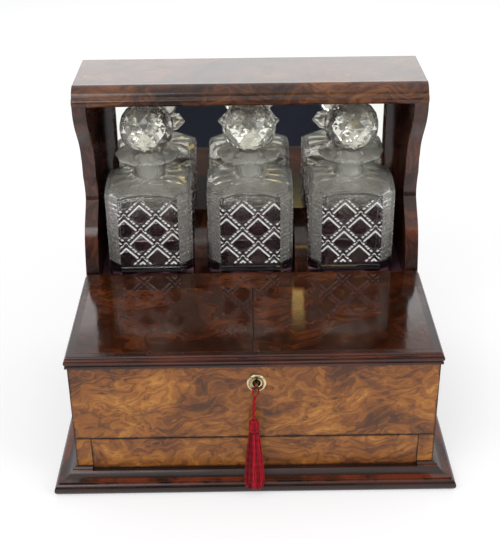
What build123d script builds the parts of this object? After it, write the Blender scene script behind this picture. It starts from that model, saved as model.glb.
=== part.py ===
"""Antique tantalus: three decanters locked under a mirror-backed canopy, behind a hinged-lid box."""
from build123d import *
import math
import os

os.makedirs("parts", exist_ok=True)

# ---------------------------------------------------------------- driving dimensions (mm)
# Frame: origin on the floor under the middle of the plinth, +X to the right, +Y to the back, +Z up.
CASE_HALF_WIDTH = 167.0
CASE_FRONT = -118.0
CASE_BACK = 138.0
CASE_TOP = 129.5
SIDE_THICKNESS = 12.0
FRONT_THICKNESS = 14.0

PLINTH_PROJECTION = 20.0
PLINTH_HEIGHT = 20.5
BASE_UNDERSIDE = 8.0
BASE_TOP = 17.0

DRAWER_HALF_OPENING = 152.3
DRAWER_TOP_LINE = 51.2
FLOOR_THICKNESS = 6.0

LID_THICKNESS = 11.3
LID_REAR = 3.2
LID_SPLIT_GAP = 0.3
LID_MARGIN = 6.0
LID_OVERHANG = 2.6

FLAP_FRONT = 3.5
FLAP_REAR = 34.0

END_BOARD_THICKNESS = 13.0
CANOPY_HALF_WIDTH = 168.5
CANOPY_UNDERSIDE = 315.2
CANOPY_TOP = 332.0

MIRROR_FACE = 128.0
MIRROR_THICKNESS = 2.6
MIRROR_HALF_OPENING = 138.0

DECANTER_SIDE = 86.0
DECANTER_CHAMFER = 13.0
DECANTER_CENTRES = {"left": -102.8, "centre": -1.2, "right": 100.3}
DECANTER_Y = 83.5
DECANTER_WALL = 6.0
NECK_RADIUS = 13.5
BORE_RADIUS = 9.6
LIP_RADIUS = 33.0

KEY_X = 2.0
KEY_Z = 111.3
BOW_RADIUS = 4.6
BUTTON_X = 70.0

HINGE_AXIS_X = 168.9
HINGE_AXIS_Z = CASE_TOP
HINGE_CENTRES = (-85.0, -28.0)
HINGE_LENGTH = 30.0
KNUCKLE_RADIUS = 1.6

# ---------------------------------------------------------------- worked-out sizes
SIDE_INNER = CASE_HALF_WIDTH - SIDE_THICKNESS
FRONT_INNER = CASE_FRONT + FRONT_THICKNESS
FLOOR_TOP = DRAWER_TOP_LINE + FLOOR_THICKNESS
LID_TOP = CASE_TOP + LID_THICKNESS
PLINTH_HALF_WIDTH = CASE_HALF_WIDTH + PLINTH_PROJECTION
PLINTH_FRONT = CASE_FRONT - PLINTH_PROJECTION
BACK_FACE = MIRROR_FACE
LID_PANEL_EDGE = CASE_HALF_WIDTH - LID_MARGIN
LID_PANEL_FRONT = CASE_FRONT + LID_MARGIN
END_BOARD_INNER = CANOPY_HALF_WIDTH - END_BOARD_THICKNESS
SIDES = {"left": -1, "right": 1}


# ---------------------------------------------------------------- shared shapes
def add_block(x, y, z, mode=Mode.ADD):
    """Add or cut the block between the pairs x, y and z in the part being built."""
    with BuildSketch(Plane.XY.offset(z[0])) as footprint:
        with Locations(((x[0] + x[1]) / 2, (y[0] + y[1]) / 2)):
            Rectangle(x[1] - x[0], y[1] - y[0])
    extrude(footprint.sketch, amount=z[1] - z[0], mode=mode)


def add_rod(start, direction, radius, length, mode=Mode.ADD):
    """Add or cut a round rod from a start point along a direction in the part being built."""
    with BuildSketch(Plane(origin=start, z_dir=direction)) as section:
        Circle(radius)
    extrude(section.sketch, amount=length, mode=mode)


def mirrored(side, low, high):
    """The pair low..high on the right, or its mirror image on the left."""
    return (low, high) if side > 0 else (-high, -low)


def save(part, name):
    """Label a finished piece and write it to its own file."""
    part.label = name
    export_step(part, f"parts/{name}.step")


def make_board(name, x, y, z):
    """A plain rectangular board, written under its name."""
    with BuildPart() as board:
        add_block(x, y, z)
    save(board.part, name)


# ---------------------------------------------------------------- plinth
def plinth_section(start, outward):
    """Section of the plinth moulding: a torus foot, a fillet, a cavetto and a small bead."""
    out = Vector(*outward)
    plane = Plane(origin=start, x_dir=out, z_dir=out.cross(Vector(0, 0, 1)))
    rabbet = -8.0
    torus_inner = PLINTH_PROJECTION - 3.0
    torus_height = 11.0
    fillet_out = 15.6
    fillet_top = 12.6
    bead_out = 4.2
    bead_base = 17.8
    with BuildSketch(plane) as section:
        with BuildLine():
            Polyline((0, BASE_UNDERSIDE), (rabbet, BASE_UNDERSIDE), (rabbet, 0), (torus_inner, 0))
            ThreePointArc((torus_inner, 0), (PLINTH_PROJECTION, torus_height / 2), (torus_inner, torus_height))
            Polyline((torus_inner, torus_height), (fillet_out, torus_height), (fillet_out, fillet_top))
            ThreePointArc((fillet_out, fillet_top), (8.6, 14.0), (bead_out, bead_base))
            ThreePointArc((bead_out, bead_base), (2.5, 19.77), (0, PLINTH_HEIGHT))
            Line((0, PLINTH_HEIGHT), (0, BASE_UNDERSIDE))
        make_face()
    return section.sketch


def mitre(side, keep):
    """Trim the part being built on the 45 degree mitre at one front corner of the case."""
    corner = Plane(origin=(side * CASE_HALF_WIDTH, CASE_FRONT, 0), z_dir=(side, 1, 0))
    split(bisect_by=corner, keep=keep)


def make_plinth():
    """Front and side mouldings mitred at the corners, with a plain rail across the back."""
    with BuildPart() as front:
        extrude(plinth_section((PLINTH_HALF_WIDTH, CASE_FRONT, 0), (0, -1, 0)), amount=2 * PLINTH_HALF_WIDTH)
        mitre(1, Keep.BOTTOM)
        mitre(-1, Keep.BOTTOM)
        # the bead stops at the stiles, so that the drawer front can slide out over the moulding
        drawer_way = (-DRAWER_HALF_OPENING, DRAWER_HALF_OPENING)
        add_block(drawer_way, (PLINTH_FRONT, CASE_FRONT), (BASE_TOP, PLINTH_HEIGHT + 1), Mode.SUBTRACT)
    save(front.part, "plinth_front")
    for word, side in SIDES.items():
        start_y = CASE_BACK if side > 0 else PLINTH_FRONT
        with BuildPart() as moulding:
            section = plinth_section((side * CASE_HALF_WIDTH, start_y, 0), (side, 0, 0))
            extrude(section, amount=CASE_BACK - PLINTH_FRONT)
            mitre(side, Keep.TOP)
        save(moulding.part, f"plinth_{word}")
    rail_half = CASE_HALF_WIDTH - 8.0
    make_board("plinth_back", (-rail_half, rail_half), (CASE_BACK - 10.0, CASE_BACK), (0, BASE_UNDERSIDE))
    full_width = (-CASE_HALF_WIDTH, CASE_HALF_WIDTH)
    make_board("base_board", full_width, (CASE_FRONT, CASE_BACK), (BASE_UNDERSIDE, BASE_TOP))


# ---------------------------------------------------------------- case
LOCK_HALF_WIDTH = 24.0
LOCK_BOTTOM = 96.0
LOCK_FRONT = -113.0
SLEEVE_RADIUS = 6.9
BUTTON_ROD_RADIUS = 1.5
BUTTON_HEAD_RADIUS = 2.9
BUTTON_Y = -111.0
BUTTON_WELL_BOTTOM = 119.5


def make_front_panel():
    """Front panel with the lock mortise, the hole for the lock's nose and the button's bore."""
    with BuildPart() as panel:
        full_width = (-CASE_HALF_WIDTH, CASE_HALF_WIDTH)
        add_block(full_width, (CASE_FRONT, FRONT_INNER), (DRAWER_TOP_LINE, CASE_TOP))
        lock_width = (-LOCK_HALF_WIDTH, LOCK_HALF_WIDTH)
        add_block(lock_width, (LOCK_FRONT, FRONT_INNER), (LOCK_BOTTOM, CASE_TOP), Mode.SUBTRACT)
        add_rod((KEY_X, CASE_FRONT, KEY_Z), (0, 1, 0), SLEEVE_RADIUS, 6.0, Mode.SUBTRACT)
        bore_radius = BUTTON_ROD_RADIUS + 0.06
        height = CASE_TOP - DRAWER_TOP_LINE
        add_rod((BUTTON_X, BUTTON_Y, DRAWER_TOP_LINE), (0, 0, 1), bore_radius, height, Mode.SUBTRACT)
        well_radius = BUTTON_HEAD_RADIUS + 0.1
        well_depth = CASE_TOP - BUTTON_WELL_BOTTOM
        add_rod((BUTTON_X, BUTTON_Y, BUTTON_WELL_BOTTOM), (0, 0, 1), well_radius, well_depth, Mode.SUBTRACT)
    save(panel.part, "case_front_panel")


LEAF_THICKNESS = 0.9
LEAF_INNER = 159.0
LEAF_OUTER = 167.1


def make_case_sides():
    """Case sides, with the hinge leaves' housings cut in their top edges."""
    for word, side in SIDES.items():
        with BuildPart() as board:
            width = mirrored(side, SIDE_INNER, CASE_HALF_WIDTH)
            add_block(width, (FRONT_INNER, CASE_BACK), (BASE_TOP, CASE_TOP))
            for centre in HINGE_CENTRES:
                housing = mirrored(side, LEAF_INNER, CASE_HALF_WIDTH)
                length = (centre - HINGE_LENGTH / 2, centre + HINGE_LENGTH / 2)
                add_block(housing, length, (CASE_TOP - LEAF_THICKNESS, CASE_TOP), Mode.SUBTRACT)
        save(board.part, f"case_{word}_side")


PARTITION_REAR = 11.5
DECK_UNDERSIDE = 118.0
LINING_THICKNESS = 2.0
FLAP_HINGE_X = 80.0
FLAP_HINGE_LENGTH = 26.0
FLAP_LEAF_REAR = 14.0


def cut_flap_hinge_housings():
    """Cut the housings of the flap's hinge leaves out of the part being built."""
    for centre in (-FLAP_HINGE_X, FLAP_HINGE_X):
        length = (centre - FLAP_HINGE_LENGTH / 2, centre + FLAP_HINGE_LENGTH / 2)
        add_block(length, (FLAP_FRONT, FLAP_LEAF_REAR), (CASE_TOP - LEAF_THICKNESS, CASE_TOP), Mode.SUBTRACT)


def make_case_inside():
    """Stiles, back, floor, divider, partition, the decanters' deck and its lining."""
    with BuildPart() as stiles:
        for side in SIDES.values():
            width = mirrored(side, DRAWER_HALF_OPENING, CASE_HALF_WIDTH)
            add_block(width, (CASE_FRONT, FRONT_INNER), (BASE_TOP, DRAWER_TOP_LINE))
    save(stiles.part, "drawer_stiles")
    with BuildPart() as guides:
        for side in SIDES.values():
            add_block(mirrored(side, 151.8, SIDE_INNER), (FRONT_INNER, BACK_FACE), (BASE_TOP, BASE_TOP + 8.0))
    save(guides.part, "drawer_guides")
    inside = (-SIDE_INNER, SIDE_INNER)
    make_board("case_back", inside, (BACK_FACE, CASE_BACK), (BASE_TOP, CASE_TOP))
    make_board("compartment_floor", inside, (FRONT_INNER, BACK_FACE), (DRAWER_TOP_LINE, FLOOR_TOP))
    make_board("compartment_divider", (-3.0, 3.0), (FRONT_INNER, FLAP_FRONT), (FLOOR_TOP, 124.0))
    with BuildPart() as partition:
        add_block(inside, (FLAP_FRONT, PARTITION_REAR), (FLOOR_TOP, CASE_TOP))
        cut_flap_hinge_housings()
    save(partition.part, "inner_partition")
    lining_underside = CASE_TOP - LINING_THICKNESS
    with BuildPart() as deck:
        add_block(inside, (PARTITION_REAR, BACK_FACE), (DECK_UNDERSIDE, lining_underside))
        add_block(inside, (PARTITION_REAR, FLAP_REAR), (lining_underside, CASE_TOP))
        cut_flap_hinge_housings()
    save(deck.part, "decanter_deck")
    make_board("deck_lining", inside, (FLAP_REAR, BACK_FACE), (lining_underside, CASE_TOP))


# ---------------------------------------------------------------- lids and retaining flap
def lid_section(start, outward):
    """Section of the lids' edge moulding: lower fillet, quirk, ovolo and a rounded top edge."""
    out = Vector(*outward)
    plane = Plane(origin=start, x_dir=out, z_dir=out.cross(Vector(0, 0, 1)))
    inner = -LID_MARGIN
    with BuildSketch(plane) as section:
        with BuildLine():
            Polyline((inner, LID_THICKNESS), (inner, 0), (2.0, 0), (2.0, 2.0), (1.0, 2.6), (1.0, 3.6), (1.8, 3.6))
            ThreePointArc((1.8, 3.6), (LID_OVERHANG, 5.8), (1.6, 8.6))
            Polyline((1.6, 8.6), (1.1, 8.6), (1.1, 9.4))
            ThreePointArc((1.1, 9.4), (0.54, 10.74), (-0.8, LID_THICKNESS))
            Line((-0.8, LID_THICKNESS), (inner, LID_THICKNESS))
        make_face()
    return section.sketch


def cut_lid_hinges(side):
    """Cut the hinge leaves' housings and the room for the knuckles out of a lid's piece."""
    for centre in HINGE_CENTRES:
        width = mirrored(side, LEAF_INNER, HINGE_AXIS_X)
        length = (centre - HINGE_LENGTH / 2, centre + HINGE_LENGTH / 2)
        add_block(width, length, (CASE_TOP, CASE_TOP + LEAF_THICKNESS), Mode.SUBTRACT)
        start = (side * HINGE_AXIS_X, centre - HINGE_LENGTH / 2 - 0.3, HINGE_AXIS_Z)
        add_rod(start, (0, 1, 0), KNUCKLE_RADIUS + 0.3, HINGE_LENGTH + 0.6, Mode.SUBTRACT)


LINK_THICKNESS = 2.5
LINK_X = {"left": -10.15, "right": 7.05}
LINK_Y = (-110.4, -105.6)
LINK_BOTTOM = 119.5
LINK_FLANGE_HALF = 5.0
LINK_FLANGE_Y = (-111.6, -104.4)
LINK_FLANGE_THICKNESS = 1.2


def make_lids():
    """Two lids: a veneered panel with a front and an outer side moulding, mitred together."""
    for word, side in SIDES.items():
        panel_width = mirrored(side, LID_SPLIT_GAP / 2, LID_PANEL_EDGE)
        with BuildPart() as panel:
            add_block(panel_width, (LID_PANEL_FRONT, LID_REAR), (CASE_TOP, LID_TOP))
            cut_lid_hinges(side)
            link_x = LINK_X[word]
            flange = (link_x - LINK_FLANGE_HALF, link_x + LINK_FLANGE_HALF)
            flange_z = (CASE_TOP, CASE_TOP + LINK_FLANGE_THICKNESS)
            add_block(flange, LINK_FLANGE_Y, flange_z, Mode.SUBTRACT)
        save(panel.part, f"{word}_lid_panel")
        with BuildPart() as front:
            start_x = CASE_HALF_WIDTH + 5.0 if side > 0 else -LID_SPLIT_GAP / 2
            section = lid_section((start_x, CASE_FRONT, CASE_TOP), (0, -1, 0))
            extrude(section, amount=CASE_HALF_WIDTH + 5.0 - LID_SPLIT_GAP / 2)
            mitre(side, Keep.BOTTOM)
        save(front.part, f"{word}_lid_front_moulding")
        with BuildPart() as outer:
            start_y = LID_REAR if side > 0 else CASE_FRONT - 5.0
            section = lid_section((side * CASE_HALF_WIDTH, start_y, CASE_TOP), (side, 0, 0))
            extrude(section, amount=LID_REAR - CASE_FRONT + 5.0)
            mitre(side, Keep.TOP)
            cut_lid_hinges(side)
        save(outer.part, f"{word}_lid_side_moulding")


def make_flap():
    """The retaining flap that keeps the decanters' feet in, with its end mouldings."""
    make_board("retaining_flap", (-LID_PANEL_EDGE, LID_PANEL_EDGE), (FLAP_FRONT, FLAP_REAR), (CASE_TOP, LID_TOP))
    with BuildPart() as ends:
        for side in SIDES.values():
            start_y = FLAP_REAR if side > 0 else FLAP_FRONT
            section = lid_section((side * CASE_HALF_WIDTH, start_y, CASE_TOP), (side, 0, 0))
            extrude(section, amount=FLAP_REAR - FLAP_FRONT)
    save(ends.part, "flap_end_mouldings")


# ---------------------------------------------------------------- hinges
def knuckle_spans(centre, length, first):
    """Every second one of a hinge's five knuckles, starting with the first or the second."""
    pitch = length / 5
    start = centre - length / 2
    return [(start + n * pitch + 0.05, start + (n + 1) * pitch - 0.05) for n in range(first, 5, 2)]


def make_lid_hinges():
    """Butt hinges on the outer side edges: case leaves, lid leaves and pins."""
    pin_radius = 0.7
    with BuildPart() as case_leaves:
        for side in SIDES.values():
            for centre in HINGE_CENTRES:
                span = (centre - HINGE_LENGTH / 2, centre + HINGE_LENGTH / 2)
                add_block(mirrored(side, LEAF_INNER, LEAF_OUTER - 0.1), span, (CASE_TOP - LEAF_THICKNESS, CASE_TOP))
                for low, high in knuckle_spans(centre, HINGE_LENGTH, 0):
                    web = mirrored(side, LEAF_OUTER - 0.2, HINGE_AXIS_X)
                    add_block(web, (low, high), (CASE_TOP - LEAF_THICKNESS, CASE_TOP))
                    add_rod((side * HINGE_AXIS_X, low, CASE_TOP), (0, 1, 0), KNUCKLE_RADIUS, high - low)
                start = (side * HINGE_AXIS_X, span[0] - 1, CASE_TOP)
                add_rod(start, (0, 1, 0), pin_radius, HINGE_LENGTH + 2, Mode.SUBTRACT)
    save(case_leaves.part, "hinge_case_leaves")
    with BuildPart() as pins:
        for side in SIDES.values():
            for centre in HINGE_CENTRES:
                start = (side * HINGE_AXIS_X, centre - HINGE_LENGTH / 2, CASE_TOP)
                add_rod(start, (0, 1, 0), pin_radius, HINGE_LENGTH)
    save(pins.part, "hinge_pins")
    for word, side in SIDES.items():
        with BuildPart() as lid_leaves:
            for centre in HINGE_CENTRES:
                span = (centre - HINGE_LENGTH / 2, centre + HINGE_LENGTH / 2)
                add_block(mirrored(side, LEAF_INNER, LEAF_OUTER), span, (CASE_TOP, CASE_TOP + LEAF_THICKNESS))
                for low, high in knuckle_spans(centre, HINGE_LENGTH, 1):
                    web = mirrored(side, LEAF_OUTER - 0.1, HINGE_AXIS_X)
                    add_block(web, (low, high), (CASE_TOP, CASE_TOP + LEAF_THICKNESS))
                    add_rod((side * HINGE_AXIS_X, low, CASE_TOP), (0, 1, 0), KNUCKLE_RADIUS, high - low)
                start = (side * HINGE_AXIS_X, span[0] - 1, CASE_TOP)
                add_rod(start, (0, 1, 0), pin_radius + 0.05, HINGE_LENGTH + 2, Mode.SUBTRACT)
        save(lid_leaves.part, f"{word}_hinge_leaves")


def make_flap_hinges():
    """Two small butt hinges under the flap's front edge, each of two leaves and a pin."""
    axis_y = 2.2
    axis_z = 128.2
    radius = 1.2
    pin_radius = 0.5
    with BuildPart() as hinges:
        for centre in (-FLAP_HINGE_X, FLAP_HINGE_X):
            span = (centre - FLAP_HINGE_LENGTH / 2, centre + FLAP_HINGE_LENGTH / 2)
            add_block(span, (2.7, FLAP_FRONT), (118.0, 126.9))
            add_block(span, (FLAP_FRONT, FLAP_LEAF_REAR), (CASE_TOP - LEAF_THICKNESS, CASE_TOP))
            for low, high in knuckle_spans(centre, FLAP_HINGE_LENGTH, 0):
                add_block((low, high), (2.7, 3.3), (126.8, axis_z))
                add_rod((low, axis_y, axis_z), (1, 0, 0), radius, high - low)
            for low, high in knuckle_spans(centre, FLAP_HINGE_LENGTH, 1):
                add_block((low, high), (axis_y, FLAP_FRONT), (CASE_TOP - LEAF_THICKNESS, CASE_TOP - 0.2))
                add_rod((low, axis_y, axis_z), (1, 0, 0), radius, high - low)
        for centre in (-FLAP_HINGE_X, FLAP_HINGE_X):
            start = (centre - FLAP_HINGE_LENGTH / 2 - 0.4, axis_y, axis_z)
            add_rod(start, (1, 0, 0), pin_radius, FLAP_HINGE_LENGTH + 0.8)
    save(hinges.part, "flap_hinges")


# ---------------------------------------------------------------- upper stage
def make_end_boards():
    """End boards with an ogee front edge: a long upper curve, a square block, a throat and a foot."""
    with BuildSketch(Plane.YZ) as outline:
        with BuildLine():
            Polyline((43.4, CANOPY_UNDERSIDE), (CASE_BACK, CANOPY_UNDERSIDE), (CASE_BACK, CASE_TOP), (38.5, CASE_TOP))
            Line((38.5, CASE_TOP), (38.5, 139.0))
            Spline((38.5, 139.0), (43.6, 159.0), (54.0, 182.0), (68.0, 195.0), (77.0, 204.0))
            Spline((77.0, 204.0), (78.4, 211.0), (77.4, 220.5), (74.0, 231.0))
            Polyline((74.0, 231.0), (74.0, 250.0), (72.2, 250.0))
            Spline((72.2, 250.0), (70.6, 261.0), (58.9, 280.0), (45.8, 300.0), (43.4, 310.0))
            Line((43.4, 310.0), (43.4, CANOPY_UNDERSIDE))
        make_face()
    for word, side in SIDES.items():
        start = END_BOARD_INNER if side > 0 else -CANOPY_HALF_WIDTH
        with BuildPart() as board:
            extrude(outline.sketch.moved(Location((start, 0, 0))), amount=END_BOARD_THICKNESS)
        save(board.part, f"{word}_end_board")


def make_canopy():
    """Canopy board with a torus nosing under an ovolo along its front edge."""
    with BuildPart() as canopy:
        with BuildSketch(Plane.YZ.offset(-CANOPY_HALF_WIDTH)):
            with BuildLine():
                Polyline((61.0, CANOPY_TOP), (CASE_BACK, CANOPY_TOP), (CASE_BACK, CANOPY_UNDERSIDE))
                Line((CASE_BACK, CANOPY_UNDERSIDE), (43.4, CANOPY_UNDERSIDE))
                ThreePointArc((43.4, CANOPY_UNDERSIDE), (42.0, 319.2), (45.0, 323.0))
                Line((45.0, 323.0), (46.2, 323.6))
                ThreePointArc((46.2, 323.6), (50.6, 329.6), (61.0, CANOPY_TOP))
            make_face()
        extrude(amount=2 * CANOPY_HALF_WIDTH)
    save(canopy.part, "canopy")


def make_mirror():
    """Back board, mirror glass and the two frame stiles that hold it."""
    back_width = (-END_BOARD_INNER, END_BOARD_INNER)
    glass_back = MIRROR_FACE + MIRROR_THICKNESS
    make_board("mirror_back_board", back_width, (glass_back, CASE_BACK), (CASE_TOP, CANOPY_UNDERSIDE))
    glass_half = END_BOARD_INNER - 0.5
    make_board("mirror_glass", (-glass_half, glass_half), (MIRROR_FACE, glass_back), (CASE_TOP, CANOPY_UNDERSIDE))
    with BuildPart() as frame:
        for side in SIDES.values():
            inner = side * MIRROR_HALF_OPENING
            outer = side * END_BOARD_INNER
            with BuildSketch(Plane.XY.offset(CASE_TOP)) as section:
                with BuildLine():
                    Polyline((inner + side * 2.4, 123.6), (outer, 123.6), (outer, MIRROR_FACE), (inner, MIRROR_FACE))
                    Line((inner, MIRROR_FACE), (inner, 126.6))
                    ThreePointArc((inner, 126.6), (inner + side * 0.7, 124.4), (inner + side * 2.4, 123.6))
                make_face()
            extrude(section.sketch, amount=CANOPY_UNDERSIDE - CASE_TOP)
    save(frame.part, "mirror_frame")


def make_well_dividers():
    """Two low dividers between the decanters, with an S-shaped front edge."""
    half_thickness = 6.6
    top = 189.0
    with BuildPart() as dividers:
        for centre in (-51.4, 50.4):
            with BuildSketch(Plane.YZ.offset(centre - half_thickness)) as outline:
                with BuildLine():
                    Polyline((84.0, top), (MIRROR_FACE, top), (MIRROR_FACE, CASE_TOP), (43.0, CASE_TOP))
                    Line((43.0, CASE_TOP), (43.0, 141.0))
                    Spline((43.0, 141.0), (46.0, 156.0), (56.0, 171.5), (70.0, 182.0), (84.0, top))
                make_face()
            extrude(outline.sketch, amount=2 * half_thickness)
    save(dividers.part, "well_dividers")


# ---------------------------------------------------------------- lock, key and link plates
LOCK_WALL = 1.2
BARREL_RADIUS = 5.4
DRIVE_RADIUS = 4.5
DRIVE_PIN_RADIUS = 1.0
BOLT_Y = (-109.2, -106.8)
BOLT_TRAVEL = 6.4
TONGUE_Z = (121.2, 124.2)


def make_lock_case():
    """Open-backed brass box with a slotted top plate, and the cap that closes it."""
    width = (-LOCK_HALF_WIDTH, LOCK_HALF_WIDTH)
    with BuildPart() as case:
        add_block(width, (LOCK_FRONT, FRONT_INNER), (LOCK_BOTTOM, CASE_TOP))
        inside = (-LOCK_HALF_WIDTH + LOCK_WALL, LOCK_HALF_WIDTH - LOCK_WALL)
        depth = (LOCK_FRONT + LOCK_WALL, FRONT_INNER)
        add_block(inside, depth, (LOCK_BOTTOM + LOCK_WALL, CASE_TOP - LOCK_WALL), Mode.SUBTRACT)
        for link_x in LINK_X.values():
            slot = (link_x - LINK_THICKNESS / 2 - 1.2, link_x + LINK_THICKNESS / 2 + 1.2)
            add_block(slot, (LINK_Y[0] - 0.4, LINK_Y[1] + 0.3), (CASE_TOP - 3, CASE_TOP + 1), Mode.SUBTRACT)
        add_rod((KEY_X, LOCK_FRONT - 1, KEY_Z), (0, 1, 0), BARREL_RADIUS + 0.05, 4.0, Mode.SUBTRACT)
    save(case.part, "lock_case")
    cap_z = (LOCK_BOTTOM + LOCK_WALL, CASE_TOP - LOCK_WALL)
    make_board("lock_cap", inside, (FRONT_INNER - LOCK_WALL, FRONT_INNER), cap_z)


def make_lock_bolt():
    """Sliding bolt: a plate with the drive slot, and two posts that carry the tongues."""
    slot_x = KEY_X - DRIVE_RADIUS * math.sin(math.radians(45))
    slot_half = DRIVE_PIN_RADIUS + 0.35
    with BuildPart() as bolt:
        add_block((-21.4, 3.4), BOLT_Y, (112.4, 118.9))
        for post_x, tip_x in ((-21.4, -12.4), (-4.2, 4.4)):
            add_block((post_x, post_x + 3.0), BOLT_Y, (118.0, TONGUE_Z[1]))
            add_block((post_x, tip_x), BOLT_Y, TONGUE_Z)
        add_block((slot_x - slot_half, slot_x + slot_half), (-110, -106), (112.7, 117.1), Mode.SUBTRACT)
    save(bolt.part, "lock_bolt")


BARREL_FRONT = -115.5
SHANK_RADIUS = 1.7
KEY_TIP = -112.2
BIT_Y = (-114.4, -112.6)
BIT_DROP = 3.3
BIT_HALF_THICKNESS = 0.7


def make_lock_barrel():
    """Round barrel turned by the key: a flange inside the lock case carries the drive pin."""
    angle = math.radians(45)
    pin_x = KEY_X - DRIVE_RADIUS * math.sin(angle)
    pin_z = KEY_Z + DRIVE_RADIUS * math.cos(angle)
    flange_front = LOCK_FRONT + LOCK_WALL + 0.1
    with BuildPart() as barrel:
        add_rod((KEY_X, BARREL_FRONT, KEY_Z), (0, 1, 0), BARREL_RADIUS, flange_front + 0.1 - BARREL_FRONT)
        add_rod((KEY_X, flange_front, KEY_Z), (0, 1, 0), 6.6, 1.6)
        add_rod((pin_x, flange_front + 1.5, pin_z), (0, 1, 0), DRIVE_PIN_RADIUS, 3.0)
        add_rod((KEY_X, BARREL_FRONT, KEY_Z), (0, 1, 0), SHANK_RADIUS, KEY_TIP - BARREL_FRONT, Mode.SUBTRACT)
        keyway = (KEY_X - BIT_HALF_THICKNESS, KEY_X + BIT_HALF_THICKNESS)
        add_block(keyway, (BARREL_FRONT, BIT_Y[1]), (KEY_Z - BIT_DROP, KEY_Z), Mode.SUBTRACT)
    save(barrel.part, "lock_barrel")


def make_escutcheon():
    """Turned brass ring with a sleeve through the panel, which is also the lock's nose."""
    with BuildPart() as ring:
        with BuildSketch(Plane(origin=(KEY_X, CASE_FRONT, KEY_Z), x_dir=(1, 0, 0), z_dir=(0, 0, 1))) as section:
            with BuildLine():
                Polyline((9.3, 0), (SLEEVE_RADIUS, 0), (SLEEVE_RADIUS, 5.0), (BARREL_RADIUS + 0.05, 5.0))
                Polyline((BARREL_RADIUS + 0.05, 5.0), (BARREL_RADIUS + 0.05, 0), (4.0, 0), (4.0, -0.9))
                Spline((4.0, -0.9), (5.4, -1.0), (7.6, -1.8), (9.3, 0))
            make_face()
        revolve(section.sketch, axis=Axis((KEY_X, CASE_FRONT, KEY_Z), (0, 1, 0)))
    save(ring.part, "escutcheon")


BOW_CENTRE_Y = -124.0
BOW_THICKNESS = 2.2
BOW_RIM = 2.0


def make_key():
    """Small key: a slim shank with its bit in the barrel, a collar and an open ring bow."""
    with BuildPart() as key:
        shank_length = KEY_TIP - BOW_CENTRE_Y - BOW_RADIUS + 1.0
        add_rod((KEY_X, KEY_TIP, KEY_Z), (0, -1, 0), SHANK_RADIUS, shank_length)
        bit = (KEY_X - BIT_HALF_THICKNESS, KEY_X + BIT_HALF_THICKNESS)
        add_block(bit, BIT_Y, (KEY_Z - BIT_DROP, KEY_Z))
        add_rod((KEY_X, -117.6, KEY_Z), (0, -1, 0), 2.4, 0.9)
        bow_start = (KEY_X - BOW_THICKNESS / 2, BOW_CENTRE_Y, KEY_Z)
        add_rod(bow_start, (1, 0, 0), BOW_RADIUS, BOW_THICKNESS)
        add_rod(bow_start, (1, 0, 0), BOW_RADIUS - BOW_RIM, BOW_THICKNESS, Mode.SUBTRACT)
    save(key.part, "key")


def make_link_plates():
    """One eyed link plate under each lid, with its flange let into the lid."""
    for word, link_x in LINK_X.items():
        with BuildPart() as link:
            width = (link_x - LINK_THICKNESS / 2, link_x + LINK_THICKNESS / 2)
            add_block(width, LINK_Y, (LINK_BOTTOM, CASE_TOP + 0.2))
            add_block(width, (BOLT_Y[0] - 0.3, BOLT_Y[1] + 0.3), (TONGUE_Z[0] - 0.3, TONGUE_Z[1] + 0.4), Mode.SUBTRACT)
            flange = (link_x - LINK_FLANGE_HALF, link_x + LINK_FLANGE_HALF)
            add_block(flange, LINK_FLANGE_Y, (CASE_TOP, CASE_TOP + LINK_FLANGE_THICKNESS))
        save(link.part, f"{word}_link_plate")


# ---------------------------------------------------------------- drawer and its release
DRAWER_FRONT_HALF = 152.0
DRAWER_SIDE_OUTER = 151.6
DRAWER_SIDE_INNER = 145.6
DRAWER_BOTTOM = 17.3
DRAWER_WALL_TOP = 48.0
DRAWER_FRONT_TOP = 50.7
DRAWER_BACK = 110.0
DRAWER_BOARD = 6.0
CATCH_Y = (-113.0, -109.0)


def make_drawer():
    """Sprung drawer: a thick veneered front, two sides, a back and a thin bottom."""
    front_back_face = CASE_FRONT + 12.0
    with BuildPart() as front:
        add_block((-DRAWER_FRONT_HALF, DRAWER_FRONT_HALF), (CASE_FRONT, front_back_face), (DRAWER_BOTTOM, DRAWER_FRONT_TOP))
        # housing for the catch spring along the top edge, open at the back
        add_block((BUTTON_X - 26, BUTTON_X + 3), CATCH_Y, (DRAWER_FRONT_TOP - 3.5, DRAWER_FRONT_TOP), Mode.SUBTRACT)
    save(front.part, "drawer_front")
    with BuildPart() as walls:
        for side in SIDES.values():
            width = mirrored(side, DRAWER_SIDE_INNER, DRAWER_SIDE_OUTER)
            add_block(width, (front_back_face, DRAWER_BACK), (DRAWER_BOTTOM, DRAWER_WALL_TOP))
    save(walls.part, "drawer_sides")
    bottom_top = DRAWER_BOTTOM + 3.5
    inside = (-DRAWER_SIDE_INNER, DRAWER_SIDE_INNER)
    make_board("drawer_bottom", inside, (front_back_face, DRAWER_BACK), (DRAWER_BOTTOM + 0.5, bottom_top))
    make_board("drawer_back", inside, (DRAWER_BACK - DRAWER_BOARD, DRAWER_BACK), (bottom_top, DRAWER_WALL_TOP))


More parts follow.
